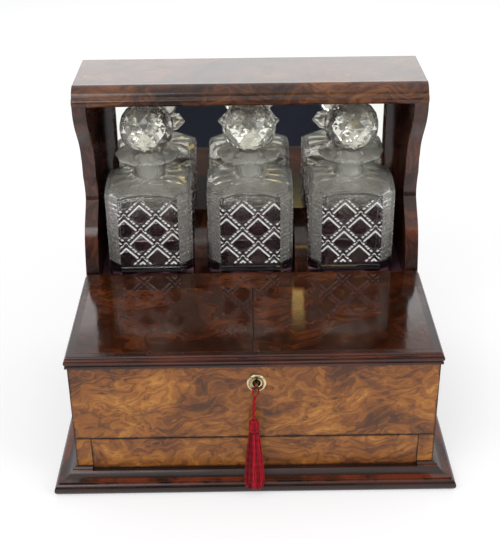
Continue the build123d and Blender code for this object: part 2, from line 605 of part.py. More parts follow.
def make_drawer_release():
    """Push button with its coil spring, the catch spring it presses and the ejector spring."""
    head_base = 126.5
    rod_bottom = 53.2
    with BuildPart() as button:
        add_rod((BUTTON_X, BUTTON_Y, rod_bottom), (0, 0, 1), BUTTON_ROD_RADIUS, head_base - rod_bottom + 1)
        add_rod((BUTTON_X, BUTTON_Y, head_base), (0, 0, 1), BUTTON_HEAD_RADIUS, CASE_TOP - 0.3 - head_base)
        dome_edge = button.edges().filter_by(GeomType.CIRCLE).sort_by(Axis.Z)[-1]
        fillet(dome_edge, 0.8)
    save(button.part, "release_button")
    turns = 4
    wire = 0.5
    with BuildPart() as spring:
        pitch = (head_base - BUTTON_WELL_BOTTOM - wire - 0.1) / turns
        base = (BUTTON_X, BUTTON_Y, BUTTON_WELL_BOTTOM + wire / 2 + 0.05)
        coil = Helix(pitch=pitch, height=pitch * turns, radius=2.2, center=base)
        with BuildSketch(Plane(origin=coil @ 0, z_dir=coil % 0)) as section:
            Rectangle(wire, wire)
        sweep(section.sketch, path=coil, is_frenet=True)
    save(spring.part, "button_spring")
    with BuildPart() as catch:
        catch_top = DRAWER_FRONT_TOP - 1.2
        add_block((BUTTON_X - 26, BUTTON_X + 2), CATCH_Y, (catch_top - 0.6, catch_top))
        add_block((BUTTON_X - 26, BUTTON_X - 18), CATCH_Y, (DRAWER_FRONT_TOP - 3.5, catch_top))
        add_rod((BUTTON_X, BUTTON_Y, catch_top - 0.1), (0, 0, 1), 1.3, 53.1 - catch_top)
    save(catch.part, "catch_spring")
    with BuildPart() as ejector:
        with BuildSketch(Plane.XY.offset(28.0)):
            with BuildLine() as bow:
                outer = ThreePointArc((-40.0, BACK_FACE - 0.8), (0.0, DRAWER_BACK + 0.3), (40.0, BACK_FACE - 0.8))
                inner = ThreePointArc((-40.0, BACK_FACE), (0.0, DRAWER_BACK + 1.1), (40.0, BACK_FACE))
                Line(outer @ 0, inner @ 0)
                Line(outer @ 1, inner @ 1)
            make_face()
        extrude(amount=12.0)
    save(ejector.part, "ejector_spring")


# ---------------------------------------------------------------- decanters and stoppers
def add_octagon_prism(centre_x, side, chamfer_size, z, mode=Mode.ADD):
    """A square prism with chamfered corners over the pair z, in the part being built."""
    with BuildSketch(Plane.XY.offset(z[0])) as footprint:
        with Locations((centre_x, DECANTER_Y)):
            Rectangle(side, side)
        chamfer(footprint.vertices(), length=chamfer_size)
    extrude(footprint.sketch, amount=z[1] - z[0], mode=mode)


def shoulder_dome(centre_x, top_z, base_z):
    """Revolved body that domes the shoulders: flat round the neck and falling away to the corners."""
    plane = Plane(origin=(centre_x, DECANTER_Y, 0), x_dir=(1, 0, 0), z_dir=(0, -1, 0))
    reach = 56.0
    with BuildSketch(plane) as section:
        with BuildLine():
            Polyline((0, top_z), (0, base_z), (reach, base_z), (reach, top_z - 11.8))
            ThreePointArc((reach, top_z - 11.8), (41.0, top_z - 3.7), (20.0, top_z))
            Line((20.0, top_z), (0, top_z))
        make_face()
    return revolve(section.sketch, axis=Axis((centre_x, DECANTER_Y, 0), (0, 0, 1)), mode=Mode.PRIVATE)


def make_decanter(word, centre_x):
    """Square cut-glass decanter: thick base, chamfered corners, square shoulders, neck and trumpet lip."""
    foot = CASE_TOP
    cavity_floor = foot + 9.0
    shoulder_z = 230.0
    flare_z = 239.0
    lip_top = 255.6
    with BuildPart() as cavity:
        inner_side = DECANTER_SIDE - 2 * DECANTER_WALL
        add_octagon_prism(centre_x, inner_side, DECANTER_CHAMFER - 3, (cavity_floor, shoulder_z - 6))
        add(shoulder_dome(centre_x, shoulder_z - 6, foot), mode=Mode.INTERSECT)
        add_rod((centre_x, DECANTER_Y, shoulder_z - 14), (0, 0, 1), BORE_RADIUS, lip_top - shoulder_z + 15)
    with BuildPart() as decanter:
        add_octagon_prism(centre_x, DECANTER_SIDE, DECANTER_CHAMFER, (foot, shoulder_z))
        add(shoulder_dome(centre_x, shoulder_z, foot), mode=Mode.INTERSECT)
        plane = Plane(origin=(centre_x, DECANTER_Y, 0), x_dir=(1, 0, 0), z_dir=(0, -1, 0))
        with BuildSketch(plane) as neck:
            with BuildLine():
                Polyline((0, shoulder_z - 3), (17.0, shoulder_z - 3), (17.0, shoulder_z))
                ThreePointArc((17.0, shoulder_z), (14.5, shoulder_z + 1.0), (NECK_RADIUS, shoulder_z + 3.5))
                Line((NECK_RADIUS, shoulder_z + 3.5), (NECK_RADIUS + 0.3, flare_z))
                ThreePointArc((NECK_RADIUS + 0.3, flare_z), (20.0, flare_z + 6.8), (LIP_RADIUS, 250.2))
                Line((LIP_RADIUS, 250.2), (LIP_RADIUS, 253.2))
                ThreePointArc((LIP_RADIUS, 253.2), (26.0, lip_top - 0.4), (17.0, lip_top))
                Polyline((17.0, lip_top), (0, lip_top), (0, shoulder_z - 3))
            make_face()
        revolve(neck.sketch, axis=Axis((centre_x, DECANTER_Y, 0), (0, 0, 1)))
        add(cavity.part, mode=Mode.SUBTRACT)
    save(decanter.part, f"decanter_{word}")


def make_stopper(word, centre_x):
    """Lapidary ball stopper: rings of flat facets stacked as lofted polygons, on a ground plug."""
    seat = 255.6
    facets = 12
    rings = ((seat, 13.0), (260.0, 19.2), (267.5, 24.6), (278.0, 27.0), (289.0, 25.4), (298.0, 20.0), (303.5, 12.0))
    with BuildPart() as stopper:
        for n in range(len(rings) - 1):
            lower = Plane(origin=(centre_x, DECANTER_Y, rings[n][0]), z_dir=(0, 0, 1))
            upper = Plane(origin=(centre_x, DECANTER_Y, rings[n + 1][0]), z_dir=(0, 0, 1))
            with BuildSketch(lower) as lower_face:
                RegularPolygon(rings[n][1], facets)
            with BuildSketch(upper) as upper_face:
                RegularPolygon(rings[n + 1][1], facets)
            loft([lower_face.sketch, upper_face.sketch])
        add_rod((centre_x, DECANTER_Y, seat + 1), (0, 0, -1), BORE_RADIUS - 0.06, 15.0)
    save(stopper.part, f"stopper_{word}")


# ---------------------------------------------------------------- tassel
TASSEL_X = -0.6
TASSEL_PIVOT = (BOW_CENTRE_Y, KEY_Z - BOW_RADIUS + BOW_RIM / 2)
TASSEL_LEAN = 9.95
LOOP_X = 1.3
LOOP_RADIUS = 2.65
LOOP_CORD_RADIUS = 0.75
LOOP_Z = (104.4, 108.3)
CORD_RADIUS = 1.6
CORD_START = 6.0
HEAD_START = 29.5
NECK_START = 42.5
TASSEL_LENGTH = 101.0


def hang_plane(distance):
    """Plane across the tassel at a distance down from its pivot, square to the way it leans."""
    lean = math.radians(TASSEL_LEAN)
    way = (0, -math.sin(lean), -math.cos(lean))
    pivot = (TASSEL_X, TASSEL_PIVOT[0], TASSEL_PIVOT[1])
    return Plane(origin=pivot, x_dir=(1, 0, 0), z_dir=way).offset(distance)


def make_tassel():
    """Silk tassel: a loop of cord round the key's bow, the cord below it, the head and a flattened skirt.

    Its skirt leans on the torus of the plinth, so the whole tassel stands a little off the vertical.
    """
    with BuildPart() as cord:
        for side in SIDES.values():
            strand_x = LOOP_X + side * LOOP_RADIUS
            for z, turn in zip(LOOP_Z, (180, -180)):
                with BuildSketch(Plane.XY.offset(z)) as section:
                    with Locations((strand_x, TASSEL_PIVOT[0])):
                        Circle(LOOP_CORD_RADIUS)
                bend_axis = Axis((LOOP_X, TASSEL_PIVOT[0], z), (0, 1, 0))
                revolve(section.sketch, axis=bend_axis, revolution_arc=side * turn / 2)
            add_rod((strand_x, TASSEL_PIVOT[0], LOOP_Z[0]), (0, 0, 1), LOOP_CORD_RADIUS, LOOP_Z[1] - LOOP_Z[0])
        with BuildSketch(hang_plane(CORD_START)) as section:
            Circle(CORD_RADIUS)
        extrude(section.sketch, amount=HEAD_START - CORD_START)
    save(cord.part, "tassel_cord")
    head_rings = ((HEAD_START, 2.2), (31.0, 3.9), (34.0, 4.8), (38.5, 4.7), (NECK_START, 3.7))
    skirt_rings = (
        (NECK_START - 2.5, 3.3, 2.9),
        (45.0, 5.3, 3.8),
        (57.0, 6.4, 3.7),
        (78.0, 8.6, 3.4),
        (91.0, 9.3, 3.1),
        (TASSEL_LENGTH, 8.8, 3.0),
    )
    with BuildPart() as tassel:
        faces = []
        for distance, radius in head_rings:
            with BuildSketch(hang_plane(distance)) as ring:
                Circle(radius)
            faces.append(ring.sketch)
        loft(faces, ruled=True)
        faces = []
        for distance, half_width, half_depth in skirt_rings:
            with BuildSketch(hang_plane(distance)) as ring:
                Ellipse(half_width, half_depth)
            faces.append(ring.sketch)
        loft(faces, ruled=True)
    save(tassel.part, "tassel")


# ---------------------------------------------------------------- build everything
make_plinth()
make_front_panel()
make_case_sides()
make_case_inside()
make_lids()
make_flap()
make_lid_hinges()
make_flap_hinges()
make_end_boards()
make_canopy()
make_mirror()
make_well_dividers()
make_lock_case()
make_lock_bolt()
make_lock_barrel()
make_escutcheon()
make_key()
make_link_plates()
make_drawer()
make_drawer_release()
for word, centre in DECANTER_CENTRES.items():
    make_decanter(word, centre)
    make_stopper(word, centre)
make_tassel()
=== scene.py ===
"""Dressing of an antique tantalus: cut-glass decanters under a canopy, behind a lidded walnut box.

Lengths are metres in the part's own frame: +X to the right, +Y to the back, +Z up, and the floor at z = 0.
"""

from __future__ import annotations

import logging
import math
from dataclasses import dataclass, field
from enum import Enum
from typing import Callable, Sequence

import bpy
import numpy as np
from mathutils import Matrix, Vector

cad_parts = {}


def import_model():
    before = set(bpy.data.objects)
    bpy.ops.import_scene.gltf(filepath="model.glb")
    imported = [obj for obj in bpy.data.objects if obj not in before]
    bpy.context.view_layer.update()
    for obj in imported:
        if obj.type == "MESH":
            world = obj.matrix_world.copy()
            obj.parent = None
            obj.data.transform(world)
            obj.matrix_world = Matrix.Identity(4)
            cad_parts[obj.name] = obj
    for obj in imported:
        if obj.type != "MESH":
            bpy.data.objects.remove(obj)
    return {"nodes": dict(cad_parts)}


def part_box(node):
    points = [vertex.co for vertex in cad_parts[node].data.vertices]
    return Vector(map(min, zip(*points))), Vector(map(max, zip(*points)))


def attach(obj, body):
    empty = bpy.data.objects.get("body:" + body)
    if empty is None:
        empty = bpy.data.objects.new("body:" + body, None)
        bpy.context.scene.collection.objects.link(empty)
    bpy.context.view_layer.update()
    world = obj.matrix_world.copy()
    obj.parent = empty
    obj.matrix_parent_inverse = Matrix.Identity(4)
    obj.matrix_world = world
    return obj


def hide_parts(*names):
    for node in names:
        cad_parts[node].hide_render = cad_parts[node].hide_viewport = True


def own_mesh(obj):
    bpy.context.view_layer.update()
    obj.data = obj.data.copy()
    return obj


LOG = logging.getLogger("tantalus")

Colour = tuple[float, float, float]
Stops = Sequence[tuple[float, Colour]]


class Place(Enum):
    """Which of the three wells a decanter stands in."""

    LEFT = "left"
    CENTRE = "centre"
    RIGHT = "right"


class Facing(Enum):
    """The axis that a veneered face looks along, given as its index."""

    X = 0
    Y = 1
    Z = 2


def tone(red: int, green: int, blue: int) -> Colour:
    """A display colour of 0 to 255 a channel as the linear colour that a shader takes.

    Args:
        red: The red channel.
        green: The green channel.
        blue: The blue channel.

    Returns:
        The linear colour.
    """
    shares = (np.array((red, green, blue)) / 255.0).tolist()
    return tuple(((s + 0.055) / 1.055) ** 2.4 if s > 0.04045 else s / 12.92 for s in shares)


# ---------------------------------------------------------------- shader nodes
class Nodes:
    """A shader node tree being laid out: it adds nodes and feeds each input a link or a plain value."""

    def __init__(self, tree: bpy.types.NodeTree) -> None:
        """Keeps the tree that the nodes go into."""
        self.tree = tree

    def feed(self, socket: bpy.types.NodeSocket, value: object) -> None:
        """Links value to the socket if it is a socket, and otherwise sets it as the socket's plain value."""
        if isinstance(value, bpy.types.NodeSocket):
            self.tree.links.new(value, socket)
        elif isinstance(value, tuple) and socket.type == "RGBA" and len(value) == 3:
            socket.default_value = (*value, 1.0)
        else:
            socket.default_value = value

    def add(self, kind: str, inputs: dict | None = None, **settings: object) -> bpy.types.Node:
        """Adds a node.

        Args:
            kind: The node's type, without "ShaderNode".
            inputs: What each input takes, by its name or number.
            settings: The node's own settings.

        Returns:
            The node.
        """
        node = self.tree.nodes.new(f"ShaderNode{kind}")
        for word, value in settings.items():
            setattr(node, word, value)
        for key, value in (inputs or {}).items():
            self.feed(node.inputs[key], value)
        return node

    def place(self) -> bpy.types.NodeSocket:
        """The point's own place, in metres."""
        return self.add("TexCoord").outputs["Object"]

    def moved(
        self, place: object, shift: tuple = (0, 0, 0), turn: tuple = (0, 0, 0), scale: tuple = (1, 1, 1)
    ) -> bpy.types.NodeSocket:
        """The place shifted, turned and scaled, as by a Mapping node."""
        inputs = {"Vector": place, "Location": shift, "Rotation": turn, "Scale": scale}
        return self.add("Mapping", inputs).outputs[0]

    def noise(
        self, place: object, scale: object, detail: float = 3.0, roughness: float = 0.55,
        distortion: float = 0.0, colour: bool = False
    ) -> bpy.types.NodeSocket:
        """Cloudy noise from 0 to 1, or three of them as a colour."""
        inputs = {
            "Vector": place, "Scale": scale, "Detail": detail, "Roughness": roughness,
            "Distortion": distortion
        }
        return self.add("TexNoise", inputs).outputs[1 if colour else 0]

    def cells(
        self, place: object, scale: object, feature: str = "F1", randomness: float = 1.0
    ) -> bpy.types.NodeSocket:
        """Distance to the nearest of the points scattered one to a cell."""
        return self.add(
            "TexVoronoi", {"Vector": place, "Scale": scale, "Randomness": randomness}, feature=feature
        ).outputs["Distance"]

    def calc(self, operation: str, a: object, b: object = 0.0, clamp: bool = False) -> bpy.types.NodeSocket:
        """One sum on numbers."""
        return self.add("Math", {0: a, 1: b}, operation=operation, use_clamp=clamp).outputs[0]

    def vector(self, operation: str, a: object, b: object = (0, 0, 0)) -> bpy.types.NodeSocket:
        """One sum on vectors."""
        return self.add("VectorMath", {0: a, 1: b}, operation=operation).outputs[0]

    def scaled(self, a: object, factor: object) -> bpy.types.NodeSocket:
        """A vector times a number."""
        return self.add("VectorMath", {0: a, "Scale": factor}, operation="SCALE").outputs[0]

    def span(
        self, value: object, low: object, high: object, to_low: object = 0.0, to_high: object = 1.0,
        smooth: bool = True
    ) -> bpy.types.NodeSocket:
        """Value carried from the span low to high onto the span to_low to to_high, with soft ends."""
        inputs = {"Value": value, "From Min": low, "From Max": high, "To Min": to_low, "To Max": to_high}
        return self.add(
            "MapRange", inputs, interpolation_type="SMOOTHSTEP" if smooth else "LINEAR"
        ).outputs[0]

    def colours(self, value: object, stops: Stops) -> bpy.types.NodeSocket:
        """The colour that a value has on a ramp of stops."""
        node = self.add("ValToRGB", {0: value})
        elements = node.color_ramp.elements
        while len(elements) < len(stops):
            elements.new(0.5)
        for element, (position, colour) in zip(elements, stops):
            element.position = position
            element.color = (*colour, 1.0)
        return node.outputs[0]

    def mix(self, factor: object, a: object, b: object, mode: str = "MIX") -> bpy.types.NodeSocket:
        """Two colours mixed."""
        return self.add("Mix", {0: factor, 6: a, 7: b}, data_type="RGBA", blend_type=mode).outputs[2]

    def mix_numbers(self, factor: object, a: object, b: object) -> bpy.types.NodeSocket:
        """Two numbers mixed."""
        return self.add("Mix", {0: factor, 2: a, 3: b}, data_type="FLOAT").outputs[0]

    def parts(self, vector: object) -> tuple:
        """A vector's three parts."""
        return tuple(self.add("SeparateXYZ", {0: vector}).outputs)

    def bump(
        self, height: object, strength: float, distance: float, normal: object | None = None
    ) -> bpy.types.NodeSocket:
        """The normal of a surface that a height raises."""
        inputs = {"Height": height, "Strength": strength, "Distance": distance}
        if normal is not None:
            inputs["Normal"] = normal
        return self.add("Bump", inputs).outputs[0]

    def group(self, tree: bpy.types.NodeTree, **inputs: object) -> bpy.types.Node:
        """Places a node group, with its inputs named by their words joined with underscores."""
        node = self.tree.nodes.new("ShaderNodeGroup")
        node.node_tree = tree
        for word, value in inputs.items():
            self.feed(node.inputs[word.replace("_", " ").title()], value)
        return node


@dataclass(frozen=True)
class Port:
    """One named socket of a node group."""

    name: str
    kind: str = "Float"
    value: object = 0.0


def node_group(
    name: str, inputs: Sequence[Port], outputs: Sequence[Port], lay_out: Callable
) -> bpy.types.NodeTree:
    """Builds a shader node group.

    Args:
        name: The group's name.
        inputs: Its input sockets.
        outputs: Its output sockets.
        lay_out: Takes the Nodes and the input sockets by name, and returns each output's socket by name.

    Returns:
        The group's tree.
    """
    tree = bpy.data.node_groups.new(name, "ShaderNodeTree")
    for ports, way in ((inputs, "INPUT"), (outputs, "OUTPUT")):
        for port in ports:
            socket = tree.interface.new_socket(port.name, in_out=way, socket_type=f"NodeSocket{port.kind}")
            if way == "INPUT":
                socket.default_value = port.value
    entry = tree.nodes.new("NodeGroupInput")
    end = tree.nodes.new("NodeGroupOutput")
    made = lay_out(Nodes(tree), {port.name: entry.outputs[port.name] for port in inputs})
    for word, socket in made.items():
        tree.links.new(socket, end.inputs[word])
    return tree


def lay_out_figure(nodes: Nodes, given: dict) -> dict:
    """Walnut figure: a place bent twice by noise, where a noise gives bands, dark veins and burr eyes."""
    place = nodes.scaled(given["Place"], given["Scale"])
    drift = nodes.vector("SUBTRACT", nodes.noise(place, 0.9, 1.5, colour=True), (0.5, 0.5, 0.5))
    bent = nodes.vector("ADD", place, nodes.scaled(drift, nodes.calc("MULTIPLY", given["Swirl"], 2.4)))
    curl = nodes.vector("SUBTRACT", nodes.noise(bent, 2.3, 2.0, colour=True), (0.5, 0.5, 0.5))
    bent = nodes.vector("ADD", bent, nodes.scaled(curl, nodes.calc("MULTIPLY", given["Swirl"], 0.7)))
    flow = nodes.noise(nodes.vector("MULTIPLY", bent, (0.42, 1.0, 1.25)), 1.35, 3.0, 0.5)
    rings = nodes.calc("SINE", nodes.calc("MULTIPLY", flow, 62.0))
    fine = nodes.calc("SINE", nodes.calc("MULTIPLY", flow, 171.0))
    clouds = nodes.noise(nodes.vector("MULTIPLY", bent, (0.7, 1.0, 1.0)), 1.1, 4.0, 0.6)
    burr = nodes.span(nodes.noise(place, 0.75, 2.0), 0.5, 0.62)
    burr = nodes.calc("MULTIPLY", burr, given["Burr"])
    eyes = nodes.span(nodes.cells(bent, 5.2), 0.05, 0.3, 1.0, 0.0)
    eyes = nodes.calc("MULTIPLY", eyes, burr)
    fibres = nodes.noise(nodes.vector("MULTIPLY", bent, (1.4, 9.0, 14.0)), 3.2, 3.0, 0.6)
    tone_sum = nodes.calc(
        "ADD", nodes.calc("MULTIPLY", nodes.span(clouds, 0.3, 0.7, smooth=False), 0.56),
        nodes.calc("MULTIPLY", rings, 0.10)
    )
    tone_sum = nodes.calc("ADD", tone_sum, nodes.calc("MULTIPLY", fine, 0.06))
    tone_sum = nodes.calc("ADD", tone_sum, nodes.calc("MULTIPLY", fibres, 0.34))
    tone_sum = nodes.calc("SUBTRACT", tone_sum, nodes.calc("MULTIPLY", eyes, 0.34))
    crest = nodes.calc("ABSOLUTE", nodes.calc("SUBTRACT", nodes.noise(bent, 0.95, 2.0), 0.5))
    veins = nodes.calc("MULTIPLY", nodes.span(crest, 0.0, 0.05, 1.0, 0.0), nodes.span(fibres, 0.35, 0.6))
    return {"Tone": tone_sum, "Veins": veins}


def lay_out_pores(nodes: Nodes, given: dict) -> dict:
    """Open pores: noise drawn out along the grain, whose highest crests show as short dark strokes."""
    stretched = nodes.vector("MULTIPLY", given["Place"], given["Stretch"])
    crest = nodes.noise(stretched, 1.0, 2.0, 0.5)
    broken = nodes.noise(given["Place"], 140.0, 2.0)
    mask = nodes.calc("MULTIPLY", nodes.span(crest, 0.6, 0.72), nodes.span(broken, 0.4, 0.6))
    return {"Mask": mask}


def lay_out_gap_shade(nodes: Nodes, given: dict) -> dict:
    """Border mask: one at a box's border and none a width inside it, broken up by noise along it; the veneers
    use it for painted shade in the gaps between parts.
    """
    away = nodes.add(
        "VectorMath", {0: nodes.vector("SUBTRACT", given["Place"], given["Centre"])}, operation="ABSOLUTE"
    ).outputs[0]
    inside = nodes.vector("ADD", nodes.vector("SUBTRACT", given["Half Size"], away), given["Skip"])
    x, y, z = nodes.parts(inside)
    nearest = nodes.calc("MINIMUM", nodes.calc("MINIMUM", x, y), z)
    ragged = nodes.span(nodes.noise(given["Place"], 90.0, 3.0, 0.65), 0.3, 0.7, 0.35, 1.5)
    reach = nodes.calc("MULTIPLY", given["Width"], ragged)
    return {"Mask": nodes.span(nearest, 0.0, reach, 1.0, 0.0)}


def lay_out_band(nodes: Nodes, given: dict) -> dict:
    """Band mask: one where a height lies within half a width of a middle height, broken up by long noise."""
    away = nodes.calc("ABSOLUTE", nodes.calc("SUBTRACT", given["Height"], given["Middle"]))
    band = nodes.span(away, nodes.calc("MULTIPLY", given["Half Width"], 0.4), given["Half Width"], 1.0, 0.0)
    patches = nodes.span(
        nodes.noise(nodes.vector("MULTIPLY", given["Place"], (1.0, 1.0, 3.0)), 34.0, 3.0, 0.65), 0.36, 0.6
    )
    return {"Mask": nodes.calc("MULTIPLY", band, patches)}


def lay_out_handling(nodes: Nodes, given: dict) -> dict:
    """Handling: broad smears that dull a polish, and the faint waviness that its brushed coats leave."""
    smears = nodes.span(nodes.noise(given["Place"], 21.0, 5.0, 0.7, 0.6), 0.35, 0.75)
    ripple = nodes.noise(nodes.vector("MULTIPLY", given["Place"], (1.0, 0.35, 1.0)), 120.0, 2.0, 0.4)
    sink = nodes.noise(nodes.vector("MULTIPLY", given["Place"], (0.25, 1.0, 1.0)), 900.0, 2.0, 0.6)
    height = nodes.calc("ADD", nodes.calc("MULTIPLY", ripple, 0.75), nodes.calc("MULTIPLY", sink, 0.25))
    return {"Smears": smears, "Height": height}


class Effects:
    """The node groups that several finishes share."""

    def __init__(self) -> None:
        """Builds each group once."""
        at = Port("Place", "Vector", (0.0, 0.0, 0.0))
        mask = (Port("Mask"),)
        self.figure = node_group(
            "walnut_figure",
            (at, Port("Scale", value=26.0), Port("Swirl", value=0.5), Port("Burr", value=1.0)),
            (Port("Tone"), Port("Veins")), lay_out_figure
        )
        self.pores = node_group(
            "open_pores", (at, Port("Stretch", "Vector", (120.0, 1600.0, 1600.0))), mask, lay_out_pores
        )
        self.edge = node_group(
            "gap_shade_mask",
            (
                at, Port("Centre", "Vector", (0.0,) * 3), Port("Half Size", "Vector", (0.1,) * 3),
                Port("Skip", "Vector", (0.0,) * 3), Port("Width", value=0.002)
            ),
            mask, lay_out_gap_shade
        )
        self.band = node_group(
            "height_band", (at, Port("Height"), Port("Middle"), Port("Half Width", value=0.001)), mask,
            lay_out_band
        )
        self.handling = node_group("handling", (at,), (Port("Smears"), Port("Height")), lay_out_handling)


class Surface:
    """A material with one Principled shader, being put together."""

    def __init__(self, name: str) -> None:
        """Makes the material, its shader and the point's place."""
        self.material = bpy.data.materials.new(name)
        self.material.use_nodes = True
        tree = self.material.node_tree
        tree.nodes.clear()
        self.nodes = Nodes(tree)
        self.shader = self.nodes.add("BsdfPrincipled")
        output = self.nodes.add("OutputMaterial")
        tree.links.new(self.shader.outputs[0], output.inputs["Surface"])
        self.place = self.nodes.place()

    def set(self, **inputs: object) -> "Surface":
        """Feeds the shader's inputs, named by their words joined with underscores."""
        for word, value in inputs.items():
            name = word.replace("_", " ").title().replace("Ior", "IOR")
            self.nodes.feed(self.shader.inputs[name], value)
        return self


@dataclass(frozen=True)
class WalnutVeneer:
    """Polished walnut, burr or plain, with its figure, pores, painted shade along the gaps at its border and
    a coat of polish.
    """

    name: str
    palette: Stops
    vein: Colour
    figure_scale: float = 26.0
    swirl: float = 0.5
    burr: float = 1.0
    shift: tuple = (0.0, 0.0, 0.0)
    turn: tuple = (0.0, 0.0, 0.0)
    stretch: tuple = (120.0, 1600.0, 1600.0)
    gap_shade_width: float = 0.0
    gap_shade_colour: Colour = (0.006, 0.003, 0.002)
    facing: Facing = Facing.Y
    roughness: float = 0.10
    smear: float = 0.08
    ripple: float = 0.04
    open_low: tuple = (0.0, 0.0, 0.0)
    open_high: tuple = (0.0, 0.0, 0.0)

    def build(
        self, effects: Effects, low: Vector | None = None, high: Vector | None = None
    ) -> bpy.types.Material:
        """Makes the material.

        Args:
            effects: The shared node groups.
            low: The lowest corner of the box whose border holds the painted gap shade, or None for none.
            high: Its highest corner.

        Returns:
            The material.
        """
        surface = Surface(self.name)
        nodes = surface.nodes
        grain = nodes.moved(surface.place, self.shift, tuple(math.radians(a) for a in self.turn))
        figure = nodes.group(
            effects.figure, place=grain, scale=self.figure_scale, swirl=self.swirl, burr=self.burr
        )
        colour = nodes.colours(figure.outputs["Tone"], self.palette)
        colour = nodes.mix(nodes.calc("MULTIPLY", figure.outputs["Veins"], 0.55), colour, self.vein)
        pores = nodes.group(effects.pores, place=grain, stretch=self.stretch).outputs["Mask"]
        colour = nodes.mix(nodes.calc("MULTIPLY", pores, 0.5), colour, self.vein)
        # Painted shade: a near-black band along the box's border stands in for the shade in the gaps round
        # the panels, the drawer and the lids.
        if self.gap_shade_width and low is not None:
            skip = tuple(1.0 if axis == self.facing.value else 0.0 for axis in range(3))
            low, high = low - Vector(self.open_low), high + Vector(self.open_high)
            centre, half = (low + high) / 2, (high - low) / 2
            border = nodes.group(
                effects.edge, place=surface.place, centre=tuple(centre), half_size=tuple(half), skip=skip,
                width=self.gap_shade_width
            )
            colour = nodes.mix(nodes.calc("MULTIPLY", border.outputs["Mask"], 0.85), colour, self.gap_shade_colour)
        handling = nodes.group(effects.handling, place=surface.place)
        rough = nodes.calc(
            "ADD", self.roughness, nodes.calc("MULTIPLY", handling.outputs["Smears"], self.smear)
        )
        if self.gap_shade_width and low is not None:
            rough = nodes.calc("MAXIMUM", rough, nodes.calc("MULTIPLY", border.outputs["Mask"], 0.8))
        normal = nodes.bump(handling.outputs["Height"], self.ripple, 0.001)
        surface.set(base_color=colour, roughness=rough, ior=1.52, normal=normal)
        return surface.material


@dataclass(frozen=True)
class Moulding:
    """Dark stained walnut moulding: straight grain, and redder bands at the given heights along its arrises.
    """

    name: str
    along: Facing = Facing.X
    band_heights: tuple = ()
    band_width: float = 0.0006
    dark: Colour = tone(17, 10, 9)
    middle: Colour = tone(40, 22, 17)
    light: Colour = tone(70, 34, 22)
    picked_look: Colour = tone(126, 52, 26)
    roughness: float = 0.16

    def build(self, effects: Effects) -> bpy.types.Material:
        """Makes the material from the shared node groups."""
        surface = Surface(self.name)
        nodes = surface.nodes
        long_way = tuple(6.0 if axis == self.along.value else 210.0 for axis in range(3))
        streaks = nodes.noise(nodes.vector("MULTIPLY", surface.place, long_way), 1.0, 4.0, 0.6, 0.4)
        clouds = nodes.noise(surface.place, 17.0, 3.0)
        value = nodes.calc("ADD", nodes.calc("MULTIPLY", streaks, 0.65), nodes.calc("MULTIPLY", clouds, 0.4))
        colour = nodes.colours(value, ((0.3, self.dark), (0.52, self.middle), (0.72, self.light)))
        height = nodes.parts(surface.place)[2]
        for middle in self.band_heights:
            band = nodes.group(
                effects.band, place=surface.place, height=height, middle=middle, half_width=self.band_width
            )
            colour = nodes.mix(nodes.calc("MULTIPLY", band.outputs["Mask"], 0.8), colour, self.picked_look)
        handling = nodes.group(effects.handling, place=surface.place)
        rough = nodes.calc("ADD", self.roughness, nodes.calc("MULTIPLY", handling.outputs["Smears"], 0.2))
        normal = nodes.bump(handling.outputs["Height"], 0.05, 0.001)
        surface.set(base_color=colour, roughness=rough, ior=1.5, normal=normal)
        return surface.material


@dataclass(frozen=True)
class SecondaryWood:
    """Unpolished carcass wood: straight grain under a thin stain."""

    name: str = "carcass_wood"
    dark: Colour = tone(74, 44, 26)
    light: Colour = tone(138, 92, 56)

    def build(self, effects: Effects) -> bpy.types.Material:
        """Makes the material from the shared node groups."""
        surface = Surface(self.name)
        nodes = surface.nodes
        streaks = nodes.noise(
            nodes.vector("MULTIPLY", surface.place, (9.0, 160.0, 160.0)), 1.0, 4.0, 0.6, 0.5
        )
        colour = nodes.colours(streaks, ((0.3, self.dark), (0.7, self.light)))
        pores = nodes.group(effects.pores, place=surface.place).outputs["Mask"]
        colour = nodes.mix(nodes.calc("MULTIPLY", pores, 0.6), colour, self.dark)
        handling = nodes.group(effects.handling, place=surface.place)
        rough = nodes.span(handling.outputs["Smears"], 0.0, 1.0, 0.5, 0.68, smooth=False)
        surface.set(base_color=colour, roughness=rough, normal=nodes.bump(streaks, 0.15, 0.0006))
        return surface.material


@dataclass(frozen=True)
class Metal:
    """Lacquered brass or blued steel, with tarnish in patches and fine scratches."""

    name: str
    clean: Colour
    tarnished: Colour
    roughness: float = 0.22
    tarnish: float = 0.5

    def build(self, effects: Effects) -> bpy.types.Material:
        """Makes the material from the shared node groups."""
        surface = Surface(self.name)
        nodes = surface.nodes
        patches = nodes.span(nodes.noise(surface.place, 260.0, 4.0, 0.65), 0.38, 0.7)
        colour = nodes.mix(nodes.calc("MULTIPLY", patches, self.tarnish), self.clean, self.tarnished)
        handling = nodes.group(effects.handling, place=nodes.scaled(surface.place, 6.0))
        rough = nodes.calc("ADD", self.roughness, nodes.calc("MULTIPLY", handling.outputs["Smears"], 0.16))
        scratches = nodes.noise(nodes.vector("MULTIPLY", surface.place, (900.0, 900.0, 5200.0)), 1.0, 2.0)
        surface.set(
            base_color=colour, metallic=1.0, roughness=rough, normal=nodes.bump(scratches, 0.05, 0.0002)
        )
        return surface.material


